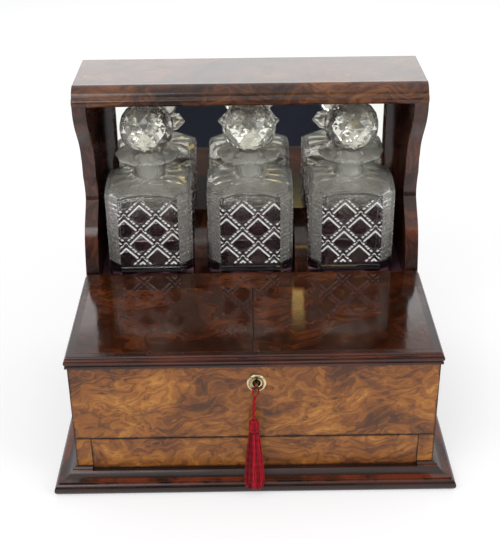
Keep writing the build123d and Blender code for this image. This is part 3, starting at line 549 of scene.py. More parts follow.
@dataclass(frozen=True)
class Crystal:
    """Lead crystal, polished or ground, very slightly yellow, with faint cords in the metal. Where given, its
    lowest part has a painted plum that stands for the lining seen through the glass, and for its shade.
    """

    name: str
    roughness_low: float = 0.0
    roughness_high: float = 0.012
    tint: Colour = (0.99, 0.99, 0.962)
    clarity: float = 0.985
    ior: float = 1.54
    painted_lining_tint: Colour | None = None
    painted_lining_heights: tuple = (0.201, 0.213)

    def build(self, effects: Effects) -> bpy.types.Material:
        """Makes the material from the shared node groups."""
        surface = Surface(self.name)
        nodes = surface.nodes
        handling = nodes.group(effects.handling, place=surface.place)
        rough = nodes.span(
            handling.outputs["Smears"], 0.0, 1.0, self.roughness_low, self.roughness_high, smooth=False
        )
        cords = nodes.noise(nodes.vector("MULTIPLY", surface.place, (60.0, 60.0, 22.0)), 1.0, 2.0)
        normal = nodes.bump(cords, 0.06, 0.001)
        colour = nodes.mix(handling.outputs["Smears"], self.tint, tuple(c * 0.99 for c in self.tint))
        # Painted reflection: below the given heights the glass takes the dark plum of the lining seen through
        # it, with its shade.
        if self.painted_lining_tint is not None:
            rise = nodes.span(nodes.parts(surface.place)[2], *self.painted_lining_heights)
            colour = nodes.mix(rise, self.painted_lining_tint, colour)
        surface.set(
            base_color=colour, roughness=rough, ior=self.ior, transmission_weight=self.clarity, normal=normal
        )
        return surface.material


@dataclass(frozen=True)
class SilveredGlass:
    """Old silvered plate: a clear reflection with a little foxing in patches."""

    name: str = "silvered_plate"
    silver: Colour = (0.85, 0.85, 0.81)
    foxing: Colour = (0.34, 0.32, 0.28)

    def build(self, effects: Effects) -> bpy.types.Material:
        """Makes the material from the shared node groups."""
        surface = Surface(self.name)
        nodes = surface.nodes
        spots = nodes.span(nodes.noise(surface.place, 210.0, 3.0, 0.7), 0.68, 0.78)
        patches = nodes.span(nodes.noise(surface.place, 12.0, 2.0), 0.52, 0.7)
        colour = nodes.mix(
            nodes.calc("MULTIPLY", nodes.calc("MULTIPLY", spots, patches), 0.6), self.silver, self.foxing
        )
        handling = nodes.group(effects.handling, place=surface.place)
        rough = nodes.span(handling.outputs["Smears"], 0.0, 1.0, 0.006, 0.03, smooth=False)
        surface.set(base_color=colour, metallic=1.0, roughness=rough)
        return surface.material


@dataclass(frozen=True)
class Baize:
    """Woollen baize lining: matted fibres, with sheen and a nap that lies in patches."""

    name: str = "plum_baize"
    deep: Colour = tone(52, 22, 34)
    raised: Colour = tone(96, 46, 62)

    def build(self) -> bpy.types.Material:
        """Makes the material."""
        surface = Surface(self.name)
        nodes = surface.nodes
        fibres = nodes.noise(surface.place, 2200.0, 4.0, 0.75, 1.2)
        nap = nodes.noise(surface.place, 45.0, 3.0)
        value = nodes.calc("ADD", nodes.calc("MULTIPLY", fibres, 0.7), nodes.calc("MULTIPLY", nap, 0.3))
        colour = nodes.colours(value, ((0.32, self.deep), (0.68, self.raised)))
        surface.set(
            base_color=colour, roughness=nodes.span(nap, 0.3, 0.7, 0.82, 0.97), sheen_weight=0.25,
            sheen_roughness=0.4, normal=nodes.bump(fibres, 0.5, 0.0005)
        )
        return surface.material


@dataclass(frozen=True)
class Silk:
    """Twisted silk thread: it reads the thread's tone and its twist from the piece's UV map. The tone differs
    at random between threads, and its dark and bright ends also paint shade in the gaps and highlights. The
    twist paints light and shade along each thread.
    """

    name: str = "crimson_thread"
    deep: Colour = tone(40, 0, 6)
    body: Colour = tone(158, 3, 22)
    bright: Colour = tone(224, 34, 62)
    turns: float = 900.0

    def build(self, effects: Effects) -> bpy.types.Material:
        """Makes the material from the shared node groups."""
        surface = Surface(self.name)
        nodes = surface.nodes
        along, around, _ = nodes.parts(nodes.add("UVMap").outputs[0])
        twist = nodes.calc(
            "SINE",
            nodes.calc(
                "ADD", nodes.calc("MULTIPLY", along, self.turns), nodes.calc("MULTIPLY", around, 12.566)
            )
        )
        shade = nodes.add("Attribute", attribute_name="thread_shade").outputs["Fac"]
        # Painted light and shade: dark threads stand for the gaps between strands, and bright threads and the
        # twist's crests stand for highlights.
        value = nodes.calc("ADD", nodes.calc("MULTIPLY", shade, 0.8), nodes.calc("MULTIPLY", twist, 0.14))
        colour = nodes.colours(value, ((0.05, self.deep), (0.45, self.body), (0.95, self.bright)))
        handling = nodes.group(effects.handling, place=surface.place)
        rough = nodes.span(handling.outputs["Smears"], 0.0, 1.0, 0.36, 0.52, smooth=False)
        surface.set(
            base_color=colour, roughness=rough, specular_ior_level=0.22, sheen_weight=0.04,
            sheen_roughness=0.4, anisotropic=0.5, normal=nodes.bump(twist, 0.35, 0.0001)
        )
        return surface.material


# ---------------------------------------------------------------- meshes
def mesh_of(
    name: str, points: np.ndarray, quads: np.ndarray, triangles: np.ndarray | None = None,
    smooth: np.ndarray | bool = True
) -> bpy.types.Object:
    """Puts points and faces into a new mesh object at the origin.

    Args:
        name: The piece's name.
        points: The vertices, one row each.
        quads: Four vertex numbers a row, counter-clockwise seen from outside.
        triangles: Three vertex numbers a row, or None.
        smooth: Whether each face is shaded smooth, quads first.

    Returns:
        The object, linked into the scene.
    """
    triangles = np.zeros((0, 3), np.int32) if triangles is None else triangles
    loops = np.concatenate((quads.reshape(-1), triangles.reshape(-1))).astype(np.int32)
    sizes = np.concatenate((np.full(len(quads), 4), np.full(len(triangles), 3))).astype(np.int32)
    mesh = bpy.data.meshes.new(name)
    mesh.vertices.add(len(points))
    mesh.vertices.foreach_set("co", points.astype(np.float32).reshape(-1))
    mesh.loops.add(len(loops))
    mesh.loops.foreach_set("vertex_index", loops)
    mesh.polygons.add(len(sizes))
    mesh.polygons.foreach_set("loop_start", np.concatenate(([0], np.cumsum(sizes)[:-1])).astype(np.int32))
    mesh.polygons.foreach_set("use_smooth", np.broadcast_to(smooth, len(sizes)).astype(bool))
    mesh.update(calc_edges=True)
    mesh.validate()
    piece = bpy.data.objects.new(name, mesh)
    bpy.context.scene.collection.objects.link(piece)
    return piece


def ring_quads(rows: int, columns: int, first: int = 0) -> np.ndarray:
    """The quads of a grid whose rows close on themselves, each between two rows and two columns."""
    row, column = np.meshgrid(np.arange(rows - 1), np.arange(columns), indexing="ij")
    beside = (column + 1) % columns
    corners = (
        row * columns + column, row * columns + beside, (row + 1) * columns + beside,
        (row + 1) * columns + column
    )
    return first + np.stack(corners, axis=-1).reshape(-1, 4)


def closed_rings(name: str, rings: np.ndarray, smooth: np.ndarray | bool = True) -> bpy.types.Object:
    """A closed skin over rings of points, from the first ring's middle to the last one's.

    Args:
        name: The piece's name.
        rings: Points with the shape (rows, columns, 3), each row counter-clockwise seen from beyond the
            last ring. smooth: Whether each row of quads is shaded smooth, or one answer for all.

    Returns:
        The piece.
    """
    rows, columns = rings.shape[:2]
    count = rows * columns
    poles = np.stack((rings[0].mean(0), rings[-1].mean(0)))
    column = np.arange(columns)
    beside = (column + 1) % columns
    start = np.stack((np.full(columns, count), beside, column), axis=1)
    end = np.stack((np.full(columns, count + 1), count - columns + column, count - columns + beside), axis=1)
    flags = np.repeat(np.broadcast_to(smooth, rows - 1), columns)
    flags = np.concatenate((flags, np.zeros(2 * columns, bool)))
    return mesh_of(
        name, np.concatenate((rings.reshape(-1, 3), poles)), ring_quads(rows, columns),
        np.concatenate((start, end)), flags
    )


def circle_height(radius: np.ndarray, ends: Sequence[tuple[float, float]]) -> np.ndarray:
    """Height at each radius of the upper arc through three points given as (radius, height).

    The centre is where the upright bisectors of two chords meet, and the height there is the centre's plus
    the root of the arc's radius squared less the distance from the centre squared.
    """
    (ax, ay), (bx, by), (cx, cy) = ends
    matrix = np.array(((bx - ax, by - ay), (cx - ax, cy - ay)))
    sums = np.array((bx * bx - ax * ax + by * by - ay * ay, cx * cx - ax * ax + cy * cy - ay * ay)) / 2
    centre = np.linalg.solve(matrix, sums)
    size = math.hypot(ax - centre[0], ay - centre[1])
    return centre[1] + np.sqrt(np.maximum(size**2 - (radius - centre[0]) ** 2, 0.0))


def groove(distance: np.ndarray, half_width: float, depth: float) -> np.ndarray:
    """Depth of a V cut at a distance from its middle line: full at the line, and none at the half width."""
    return depth * np.clip(1.0 - np.abs(distance) / half_width, 0.0, 1.0)


def nearest_line(value: np.ndarray, pitch: float, shift: float = 0.0) -> np.ndarray:
    """Distance to the nearest of evenly spaced lines: the remainder, measured from half a pitch."""
    return np.abs(np.mod(value - shift + pitch / 2, pitch) - pitch / 2)


def sweep(
    line: np.ndarray, across: np.ndarray, outward: np.ndarray, radii: np.ndarray, sides: int
) -> np.ndarray:
    """Rings of a tube along lines.

    Each ring's points are the line's point plus the radius times cosine of the angle across, plus sine of
    it outward.

    Args:
        line: Points with the shape (..., rows, 3).
        across: Unit vectors square to the line, broadcast to its shape.
        outward: Unit vectors square to both.
        radii: The radius at each point, broadcast to (..., rows).
        sides: How many points a ring has.

    Returns:
        Points with the shape (..., rows, sides, 3).
    """
    angle = np.linspace(0, 2 * math.pi, sides, endpoint=False)
    ring = across[..., None, :] * np.cos(angle)[:, None] + outward[..., None, :] * np.sin(angle)[:, None]
    return line[..., None, :] + radii[..., None, None] * ring


def tubes(name: str, rings: np.ndarray, shades: np.ndarray) -> bpy.types.Object:
    """Many closed tubes in one mesh, with a UV map along and around each, and a tone of its own that the silk
    also uses for painted shade and highlights.

    Args:
        name: The piece's name.
        rings: Points with the shape (tubes, rows, sides, 3).
        shades: One number a tube.

    Returns:
        The piece.
    """
    count, rows, sides = rings.shape[:3]
    per_tube = rows * sides + 2
    ends = np.stack((rings[:, 0].mean(1), rings[:, -1].mean(1)), axis=1)
    points = np.concatenate((rings.reshape(count, -1, 3), ends), axis=1).reshape(-1, 3)
    firsts = (np.arange(count) * per_tube)[:, None, None]
    quads = (ring_quads(rows, sides)[None] + firsts).reshape(-1, 4)
    side = np.arange(sides)
    beside = (side + 1) % sides
    start = np.stack((np.full(sides, rows * sides), beside, side), axis=1)
    end = np.stack(
        (np.full(sides, rows * sides + 1), (rows - 1) * sides + side, (rows - 1) * sides + beside), axis=1
    )
    triangles = (np.concatenate((start, end))[None] + firsts).reshape(-1, 3)
    piece = mesh_of(name, points, quads, triangles)
    lengths = np.linalg.norm(np.diff(rings.mean(2), axis=1), axis=2)
    along = np.concatenate((np.zeros((count, 1)), np.cumsum(lengths, axis=1)), axis=1)
    u = np.repeat(along[:, :, None], sides, axis=2).reshape(count, -1)
    v = np.broadcast_to(side / sides, (count, rows, sides)).reshape(count, -1)
    u = np.concatenate((u, np.zeros((count, 1)), along[:, -1:]), axis=1).reshape(-1)
    v = np.concatenate((v, np.zeros((count, 2))), axis=1).reshape(-1)
    corners = np.zeros(len(piece.data.loops), np.int32)
    piece.data.loops.foreach_get("vertex_index", corners)
    layer = piece.data.uv_layers.new(name="UVMap")
    layer.data.foreach_set("uv", np.stack((u[corners], v[corners]), axis=1).astype(np.float32).reshape(-1))
    shade = piece.data.attributes.new("thread_shade", "FLOAT", "POINT")
    shade.data.foreach_set("value", np.repeat(shades, per_tube).astype(np.float32))
    return piece


def finish_piece(
    piece: bpy.types.Object, body: str, slot: str, materials: Sequence[bpy.types.Material], *nodes: str
) -> bpy.types.Object:
    """Gives a piece its materials and its body, and hides the solids that it stands for."""
    for material in materials:
        piece.data.materials.append(material)
    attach(piece, body)
    if nodes:
        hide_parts(*nodes)
    LOG.info("%s: %d faces", piece.name, len(piece.data.polygons))
    return piece


# ---------------------------------------------------------------- the studio
@dataclass
class Studio:
    """Camera, floor, backdrop and lamps."""

    eye: tuple = (-0.0055, -0.9006, 0.6536)
    tilt_down: float = 28.58
    turn: float = 0.21
    roll: float = 0.67
    focal_length: float = 70.30
    floor_half: float = 3.0
    floor_glow: float = 0.47
    daylight: float = 0.71
    before: float = 0.22
    between_panes: float = 0.6
    front_radiance: float = 3.0
    rear_radiance: float = 1.4

    def set_camera(self) -> None:
        """Aims the camera: forward from turn and tilt, then the picture turned round it by the roll."""
        tilt, turn, roll = (math.radians(a) for a in (self.tilt_down, self.turn, self.roll))
        forward = Vector((math.sin(turn) * math.cos(tilt), math.cos(turn) * math.cos(tilt), -math.sin(tilt)))
        right = forward.cross(Vector((0, 0, 1))).normalized()
        down = forward.cross(right)
        rolled_right = math.cos(roll) * right + math.sin(roll) * down
        rolled_down = -math.sin(roll) * right + math.cos(roll) * down
        camera = bpy.data.objects.new("camera", bpy.data.cameras.new("camera"))
        camera.data.lens = self.focal_length
        camera.data.sensor_width = 36.0
        camera.data.clip_end = 20.0
        rotation = Matrix((rolled_right, -rolled_down, -forward)).transposed()
        camera.matrix_world = Matrix.Translation(Vector(self.eye)) @ rotation.to_4x4()
        bpy.context.scene.collection.objects.link(camera)
        bpy.context.scene.camera = camera

    def lay_floor(self) -> None:
        """A pale floor that keeps the shadow and shows white to the camera, to gloss and through glass."""
        half = self.floor_half
        corners = np.array(((-half, -half, 0), (half, -half, 0), (half, half, 0), (-half, half, 0)), float)
        floor = mesh_of("floor", corners, np.array(((0, 1, 2, 3),)))
        surface = Surface("studio_floor")
        nodes = surface.nodes
        rays = nodes.add("LightPath").outputs
        shown = nodes.calc(
            "MAXIMUM", rays["Is Camera Ray"],
            nodes.calc("MAXIMUM", rays["Is Glossy Ray"], rays["Is Transmission Ray"])
        )
        surface.set(base_color=(0.62, 0.62, 0.63), roughness=0.9, emission_color=(1.0, 1.0, 1.0))
        nodes.feed(surface.shader.inputs["Specular IOR Level"], 0.0)
        nodes.feed(surface.shader.inputs["Emission Strength"], nodes.calc("MULTIPLY", shown, self.floor_glow))
        floor.data.materials.append(surface.material)

    def hang_card(self, name: str, corners: tuple, surface: Surface, hidden_from: tuple[str, ...]) -> None:
        """Hangs a card with four corners in the studio, which some kinds of ray don't meet."""
        card = mesh_of(name, np.array(corners), np.array(((0, 1, 2, 3),)))
        card.data.materials.append(surface.material)
        for way in hidden_from:
            setattr(card, f"visible_{way}", False)

    def hang_dark_card(self) -> None:
        """The dark side of the room in the mirror and the glass, seen only by gloss and through glass."""
        half, place, top = 0.186, -0.42, 0.21
        corners = ((-half, place, 0.0), (half, place, 0.0), (half, place, top), (-half, place, top))
        surface = Surface("dark_room")
        weave = surface.nodes.noise(surface.place, 9.0, 2.0)
        shade = surface.nodes.colours(weave, ((0.3, tone(17, 22, 38)), (0.7, tone(28, 34, 54))))
        surface.set(base_color=shade, roughness=0.9)
        self.hang_card("dark_card", corners, surface, ("camera", "diffuse", "volume_scatter", "shadow"))

    def hang_gold_card(self) -> None:
        """A glowing golden card before the object, as bright as the front lamps, that only gloss meets: it
        lights nothing and paints a warm reflection in the polish.
        """
        left, right, near, far, low, high = 0.075, 0.295, -1.30, -1.46, 0.90, 1.20
        corners = ((left, near, low), (left, far, high), (right, far, high), (right, near, low))
        surface = Surface("glowing_gold_reflection")
        surface.set(base_color=tone(20, 16, 10), roughness=0.9, emission_color=(1.0, 0.74, 0.26))
        surface.shader.inputs["Emission Strength"].default_value = self.front_radiance
        hidden_from = ("camera", "diffuse", "transmission", "volume_scatter", "shadow")
        self.hang_card("gold_card", corners, surface, hidden_from)

    def light_world(self) -> None:
        """Even daylight on the object, and a white cove and a dim front for gloss and glass.

        Through glass the room shows white panes with dimmer gaps between them. The cove and the ceiling are
        white, and no part of the world is brighter than white, a strength of 1. The room dims by how far
        the way points to the front.
        """
        world = bpy.data.worlds.new("studio")
        bpy.context.scene.world = world
        world.use_nodes = True
        world.node_tree.nodes.clear()
        nodes = Nodes(world.node_tree)
        rays = nodes.add("LightPath").outputs
        way = nodes.add("TexCoord").outputs["Generated"]
        _, y, z = nodes.parts(way)
        room = nodes.mix_numbers(nodes.span(z, 0.56, 0.72), nodes.span(y, -0.45, 0.1, self.before, 1.0), 1.0)
        level = nodes.mix_numbers(rays["Is Glossy Ray"], self.daylight, room)
        panes = nodes.span(nodes.noise(way, 3.4, 1.0), 0.42, 0.54, self.between_panes, 1.0)
        level = nodes.mix_numbers(
            rays["Is Transmission Ray"], level, nodes.mix_numbers(nodes.span(z, -0.1, 0.15), 0.3, panes)
        )
        level = nodes.mix_numbers(rays["Is Camera Ray"], level, 1.0)
        background = nodes.add("Background", {"Color": (1.0, 1.0, 1.0), "Strength": level})
        output = nodes.add("OutputWorld")
        world.node_tree.links.new(background.outputs[0], output.inputs["Surface"])

    def add_lamp(
        self, name: str, place: tuple, aim: tuple, size: tuple, radiance: float,
        colour: Colour = (1.0, 1.0, 1.0)
    ) -> None:
        """An oblong lamp aimed at a point. Its power is the radiance times pi times its area."""
        light = bpy.data.lights.new(name, "AREA")
        light.shape = "RECTANGLE"
        light.size, light.size_y = size
        light.energy = radiance * math.pi * size[0] * size[1]
        light.color = colour
        lamp = bpy.data.objects.new(name, light)
        lamp.location = place
        lamp.rotation_mode = "QUATERNION"
        lamp.rotation_quaternion = (Vector(aim) - Vector(place)).to_track_quat("-Z", "Y")
        lamp.visible_camera = False
        bpy.context.scene.collection.objects.link(lamp)

    def build(self) -> None:
        """Sets up the whole studio."""
        self.set_camera()
        self.lay_floor()
        self.hang_dark_card()
        self.light_world()
        middle, canopy = (0, 0, 0.15), (0.0, 0.09, 0.33)
        self.add_lamp("softbox_behind", (0.0, 1.6, 0.83), canopy, (1.2, 0.6), self.rear_radiance)
        self.add_lamp("softbox_left", (-0.75, -1.15, 1.45), middle, (1.0, 0.9), self.front_radiance)
        self.add_lamp("softbox_right", (1.15, -0.8, 0.85), middle, (0.56, 0.84), self.front_radiance)
        self.hang_gold_card()


# ---------------------------------------------------------------- cut glass
@dataclass
class Decanter:
    """Square decanter: cane cutting on the faces, notched corners, fluted shoulders and neck, and a wide lip.

    All its skin is one closed grid. A column runs from the middle of the foot up a face or corner, over the
    shoulder and the lip, down the bore and the inside to the middle of the inner floor.
    """

    place: Place
    chamfer: float = 0.013
    wall: float = 0.006
    button_pitch: float = 0.01575
    grid_steps: int = 16
    corner_steps: int = 16
    floor_thickness: float = 0.009
    bore_radius: float = 0.0096
    cut_low: float = 0.0182
    row_middle: float = 0.0572
    flutes: int = 12
    neck_sides: int = 8
    lip_lobes: int = 10
    columns: dict = field(default_factory=dict)
    cuts: np.ndarray = field(default_factory=lambda: np.zeros((1, 1)))
    rows: np.ndarray = field(default_factory=lambda: np.zeros(1))

    def __post_init__(self) -> None:
        """Takes the decanter's size and place from its solid."""
        self.node = f"decanter_{self.place.value}"
        low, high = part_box(self.node)
        self.side = high.x - low.x
        self.foot, self.top = low.z, high.z
        self.centre = ((low.x + high.x) / 2, (low.y + high.y) / 2)
        self.neck_height = self.top - 0.0256
        self.set_columns()

    def set_columns(self) -> None:
        """Sets the grid's columns: each one's point on the foot, way outward and place on its face.

        A face has columns a grid step apart from its middle, so that slanting cuts run through its points,
        and a corner has its own even steps. The four quarters are one quarter turned.
        """
        half_face = self.side / 2 - self.chamfer
        step = self.button_pitch / self.grid_steps
        inner = np.arange(-math.floor(half_face / step), math.floor(half_face / step) + 1) * step
        on_face = np.concatenate(([-half_face], inner[np.abs(inner) < half_face - step * 0.2]))
        share = np.arange(self.corner_steps) / self.corner_steps
        x = np.concatenate((on_face, half_face + share * self.chamfer))
        y = np.concatenate((np.full(len(on_face), -self.side / 2), -self.side / 2 + share * self.chamfer))
        is_face = np.concatenate((np.ones(len(on_face)), np.zeros(len(share))))
        is_corner_line = np.zeros(len(x), bool)
        is_corner_line[[0, len(on_face)]] = True
        outward = np.stack(
            (np.where(is_face > 0, 0.0, math.sqrt(0.5)), np.where(is_face > 0, -1.0, -math.sqrt(0.5))), axis=1
        )
        along = np.concatenate((on_face, (share - 0.5) * self.chamfer * math.sqrt(2)))
        points, ways = [], []
        for quarter in range(4):
            cosine, sine = (1, 0, -1, 0)[quarter], (0, 1, 0, -1)[quarter]
            turn = np.array(((cosine, -sine), (sine, cosine)))
            points.append(np.stack((x, y), axis=1) @ turn.T)
            ways.append(outward @ turn.T)
        base = np.concatenate(points)
        radius = np.linalg.norm(base, axis=1)
        self.columns = {
            "base": base,
            "outward": np.concatenate(ways),
            "along": np.tile(along, 4),
            "is_face": np.tile(is_face, 4) > 0,
            "is_line": np.tile(is_corner_line, 4),
            "radius": radius,
            "way": base / radius[:, None],
            "angle": np.arctan2(base[:, 1], base[:, 0]),
        }

    def shoulder(self, radius: np.ndarray, drop: float = 0.0) -> np.ndarray:
        """Height of the shoulder's dome at a radius, or of the dome inside it when dropped."""
        top = self.neck_height - drop
        return circle_height(
            np.maximum(radius, 0.020), ((0.056, top - 0.0118), (0.041, top - 0.0037), (0.020, top))
        )

    def cane_cut(
        self, along: np.ndarray, height: np.ndarray, below_edge: np.ndarray, slants_only: bool = False
    ) -> np.ndarray:
        """Depth of the cutting on a face.

        Plain buttons stand where the row and column numbers add up to an even number. Pairs of slanting V
        cuts cross where they add up to an odd one, with short cuts across each pair, single V cuts run
        level and upright between the rows, and two cuts follow the panel's border.
        """
        pitch = self.button_pitch
        q, r = along / pitch - 0.5, height / pitch
        slant_one = np.abs(np.mod(q + r, 2.0) - 1.0) * pitch / math.sqrt(2)
        slant_two = np.abs(np.mod(q - r, 2.0) - 1.0) * pitch / math.sqrt(2)
        cut = np.maximum(
            groove(slant_one - 0.0019, 0.0017, 0.0013), groove(slant_two - 0.0019, 0.0017, 0.0013)
        )
        tick_pitch = pitch / math.sqrt(2) / 3
        ticks_one = groove(
            nearest_line((q - r) * pitch / math.sqrt(2), tick_pitch), 0.0012, 0.0008
        ) * (slant_one < 0.0030)
        ticks_two = groove(
            nearest_line((q + r) * pitch / math.sqrt(2), tick_pitch), 0.0012, 0.0008
        ) * (slant_two < 0.0030)
        cut = np.maximum(cut, np.maximum(ticks_one, ticks_two))
        if slants_only:
            return cut
        level = groove(nearest_line(height, pitch, pitch / 2), 0.0011, 0.0008)
        upright = groove(nearest_line(along, pitch), 0.0011, 0.0008)
        cut = np.maximum(cut, np.maximum(level, upright))
        half_face = self.side / 2 - self.chamfer
        from_side = half_face - np.abs(along)
        inside = (from_side > 0.0018) & (below_edge > 0.0062)
        cut = np.where(inside, cut, 0.0)
        border = groove(from_side - 0.0009, 0.0009, 0.0008)
        arch = np.maximum(
            groove(below_edge - 0.0050, 0.0012, 0.0010), groove(below_edge - 0.0024, 0.0011, 0.0007)
        )
        return np.maximum(cut, np.maximum(border, arch))

    def corner_cut(self, along: np.ndarray, height: np.ndarray, below_edge: np.ndarray) -> np.ndarray:
        """Depth of the cutting on a corner: level notches close together, crossed by slanting ones."""
        notches = groove(nearest_line(height, 0.0050), 0.0022, 0.0011)
        slants = np.maximum(
            groove(nearest_line(along + height, 0.0104), 0.0014, 0.0009),
            groove(nearest_line(along - height, 0.0104), 0.0014, 0.0009)
        )
        return np.maximum(notches, slants) * np.clip(below_edge / 0.004, 0.0, 1.0)

    def outer_wall(self) -> np.ndarray:
        """Rings of the outer wall, pushed in along each face's outward way by the depth of its cuts."""
        c = self.columns
        step = self.button_pitch / self.grid_steps
        edge = self.shoulder(c["radius"])
        plain = np.array((0.0009, 0.0038, 0.0068, 0.0098))
        fine = np.arange(0.0105, self.cut_low + 0.0004, 0.0007)
        middle = self.row_middle
        count = int((0.0890 - fine[-1]) / step)
        even = middle + (np.arange(count) - round((middle - fine[-1]) / step) + 1) * step
        even = even[(even > fine[-1] + 0.0003) & (even < 0.0895)]
        fixed = np.concatenate((plain, fine, even))[:, None] + np.zeros(len(edge))
        share = np.linspace(0, 1, 11)[1:, None]
        last = fixed[-1]
        rising = last + share * (edge - self.foot - last)
        height = np.concatenate((fixed, rising))
        below = (edge - self.foot) - height
        pattern = np.where(
            c["is_face"], self.cane_cut(c["along"], height - middle, below),
            self.corner_cut(c["along"], height, below)
        )
        pattern = pattern * np.clip((height - self.cut_low) / 0.0012, 0.0, 1.0)
        rings = np.maximum(groove(height - 0.0118, 0.0012, 0.0009), groove(height - 0.0155, 0.0013, 0.0011))
        depth = np.where(c["is_line"], 0.35, 1.0) * np.maximum(pattern, rings)
        self.rows = height.mean(axis=1)
        self.cuts = np.where(
            below > 0.0062, self.cane_cut(c["along"], height - middle, below, slants_only=True), 0.0
        )
        flat = c["base"][None] - c["outward"][None] * depth[..., None]
        return np.concatenate((flat, (self.foot + height)[..., None]), axis=-1)

    def round_rings(
        self, radii: Sequence[float], heights: Sequence[float], dents: np.ndarray | float = 1.0
    ) -> np.ndarray:
        """Rings round the middle: each column's way times the radius and its dent, at the height."""
        radius = np.asarray(radii)[:, None] * dents * np.ones(len(self.columns["radius"]))
        flat = radius[..., None] * self.columns["way"][None]
        height = np.broadcast_to(np.asarray(heights)[:, None], radius.shape)
        return np.concatenate((flat, height[..., None]), axis=-1)

    def dome_rings(self) -> np.ndarray:
        """Rings of the shoulder, from the faces' tops in to the neck, with flutes meeting at ridges."""
        c = self.columns
        share = np.linspace(0, 1, 24)[1:, None]
        radius = c["radius"] + share * (0.0172 - c["radius"])
        hollow = np.abs(np.sin(self.flutes / 2 * c["angle"])) * np.sin(math.pi * share) ** 0.8
        height = self.shoulder(radius) - 0.0011 * hollow
        flat = radius[..., None] * c["way"][None]
        return np.concatenate((flat, height[..., None]), axis=-1)

    def neck_rings(self) -> np.ndarray:
        """Rings of the faceted neck and the lobed lip, up the outside, over the rim and down the bore."""
        base, top = self.neck_height, self.top
        angle = self.columns["angle"]
        sector = 2 * math.pi / self.neck_sides
        facet = math.cos(sector / 2) / np.cos(np.mod(angle, sector) - sector / 2)
        neck = (
            (0.0152, base + 0.0007), (0.0141, base + 0.0019), (0.0136, base + 0.0035),
            (0.0136, base + 0.0060), (0.0138, base + 0.0086)
        )
        lobes = 1.0 - 0.055 * np.abs(np.sin(self.lip_lobes / 2 * angle)) ** 1.4
        flare = np.array((0.0142, 0.0155, 0.0175, 0.0205, 0.0240, 0.0275, 0.0305, 0.0322))
        under = circle_height(flare, ((0.0138, -0.0166), (0.0200, -0.0098), (0.0330, -0.0054)))
        rim_edge = (
            (0.0330, -0.0042), (0.0329, -0.0029), (0.0317, -0.0018), (0.0275, -0.0007), (0.0215, -0.0001),
            (0.0150, 0.0), (0.0112, -0.0001)
        )
        lip = (*zip(flare, under), *rim_edge)
        fade = np.clip((np.array([r for r, _ in lip]) - 0.015) / 0.012, 0, 1)[:, None]
        outer = self.round_rings([r for r, _ in neck], [z for _, z in neck], facet)
        rim = self.round_rings([r for r, _ in lip], [top + z for _, z in lip], 1.0 - fade * (1.0 - lobes))
        bore = self.round_rings(
            [0.0099] + [self.bore_radius] * 5,
            [top - 0.0006, top - 0.0016, top - 0.008, top - 0.016, top - 0.024, self.neck_height - 0.0058]
        )
        return np.concatenate((outer, rim, bore))

    def inner_rings(self) -> np.ndarray:
        """Rings of the inside: out under the shoulder, down the wall, and round a corner to the floor."""
        c = self.columns
        half = self.side / 2 - self.wall
        scale = np.where(c["is_face"], half / (self.side / 2), (half - 0.0005) / (self.side / 2))
        inner = c["base"] * scale[:, None]
        reach = np.linalg.norm(inner, axis=1)
        share = np.linspace(0, 1, 13)[:, None]
        radius = self.bore_radius + share * (reach - self.bore_radius)
        dome = np.concatenate(
            (radius[..., None] * c["way"][None], self.shoulder(radius, 0.006)[..., None]), axis=-1
        )
        top = self.shoulder(reach, 0.006)
        low = self.foot + self.floor_thickness
        share = np.linspace(0, 1, 9)[1:, None]
        height = top + share * (low + 0.005 - top)
        wall = np.concatenate((np.broadcast_to(inner, (8, *inner.shape)), height[..., None]), axis=-1)
        inset = np.array((0.0012, 0.0036, 0.008))[:, None, None] * c["way"][None]
        rise = np.array((0.0018, 0.0004, 0.0))[:, None] + low
        corner = np.concatenate(
            (inner[None] - inset, np.broadcast_to(rise, (3, len(reach)))[..., None]), axis=-1
        )
        return np.concatenate((dome, wall, corner))

    def build(self, finishes: "Finishes") -> bpy.types.Object:
        """Makes the decanter, dressed and riding on its body."""
        foot = self.round_rings((0.02, 0.034), (self.foot + 0.0012, self.foot + 0.0008))
        rim = np.concatenate(
            (self.columns["base"] * 0.985, np.full((len(self.columns["radius"]), 1), self.foot)), axis=1
        )[None]
        outer, dome, neck, inner = self.outer_wall(), self.dome_rings(), self.neck_rings(), self.inner_rings()
        rings = np.concatenate((foot, rim, outer, dome, neck, inner))
        bore_end = len(rings) - len(inner)
        rings = rings + np.array((*self.centre, 0.0))
        smooth = np.ones(len(rings) - 1, bool)
        smooth[: 3 + len(outer) - 1] = False
        piece = closed_rings(f"cut_{self.node}", rings, smooth)
        looks = [
            finishes.crystal, finishes.ground_glass, finishes.painted_highlight_cut, finishes.lit_crystal,
            finishes.corner_crystal, finishes.inner_crystal
        ]
        finish_piece(piece, f"{self.place.value}_decanter", "cut_glass", looks, self.node)
        columns = rings.shape[1]
        # Each face picks its look. Up-facing walls of the slanting cuts take the mostly white look, a painted
        # highlight. Back faces, the shoulder, neck and lip take the lit copy, which is painted light. Corners
        # take the corner look.
        picked_look = np.zeros((len(piece.data.polygons) // columns + 1, columns), np.int32)
        first = len(foot) + 1
        rise = self.cuts[1:] - self.cuts[:-1]
        on_face, at_back = self.columns["is_face"], self.columns["outward"][:, 1] > 0.5
        cut_rows = self.rows[:-1, None] > self.cut_low
        # Walls that go deeper as they rise face up, and these get the painted highlight.
        highlight_walls = (rise + np.roll(rise, -1, axis=1) > 0.0006) & on_face & ~at_back & cut_rows
        plain = np.where(at_back & on_face, 3, np.where(on_face, 0, 4))
        picked_look[first : first + len(outer) - 1] = np.where(highlight_walls, 2, np.where(cut_rows, plain, 0))
        picked_look[first + len(outer) - 1 : bore_end + 12] = 3
        picked_look[bore_end - 5 : bore_end - 1] = 1
        picked_look[bore_end + 12 :] = 5
        piece.data.polygons.foreach_set("material_index", picked_look.reshape(-1)[: len(piece.data.polygons)])
        return piece


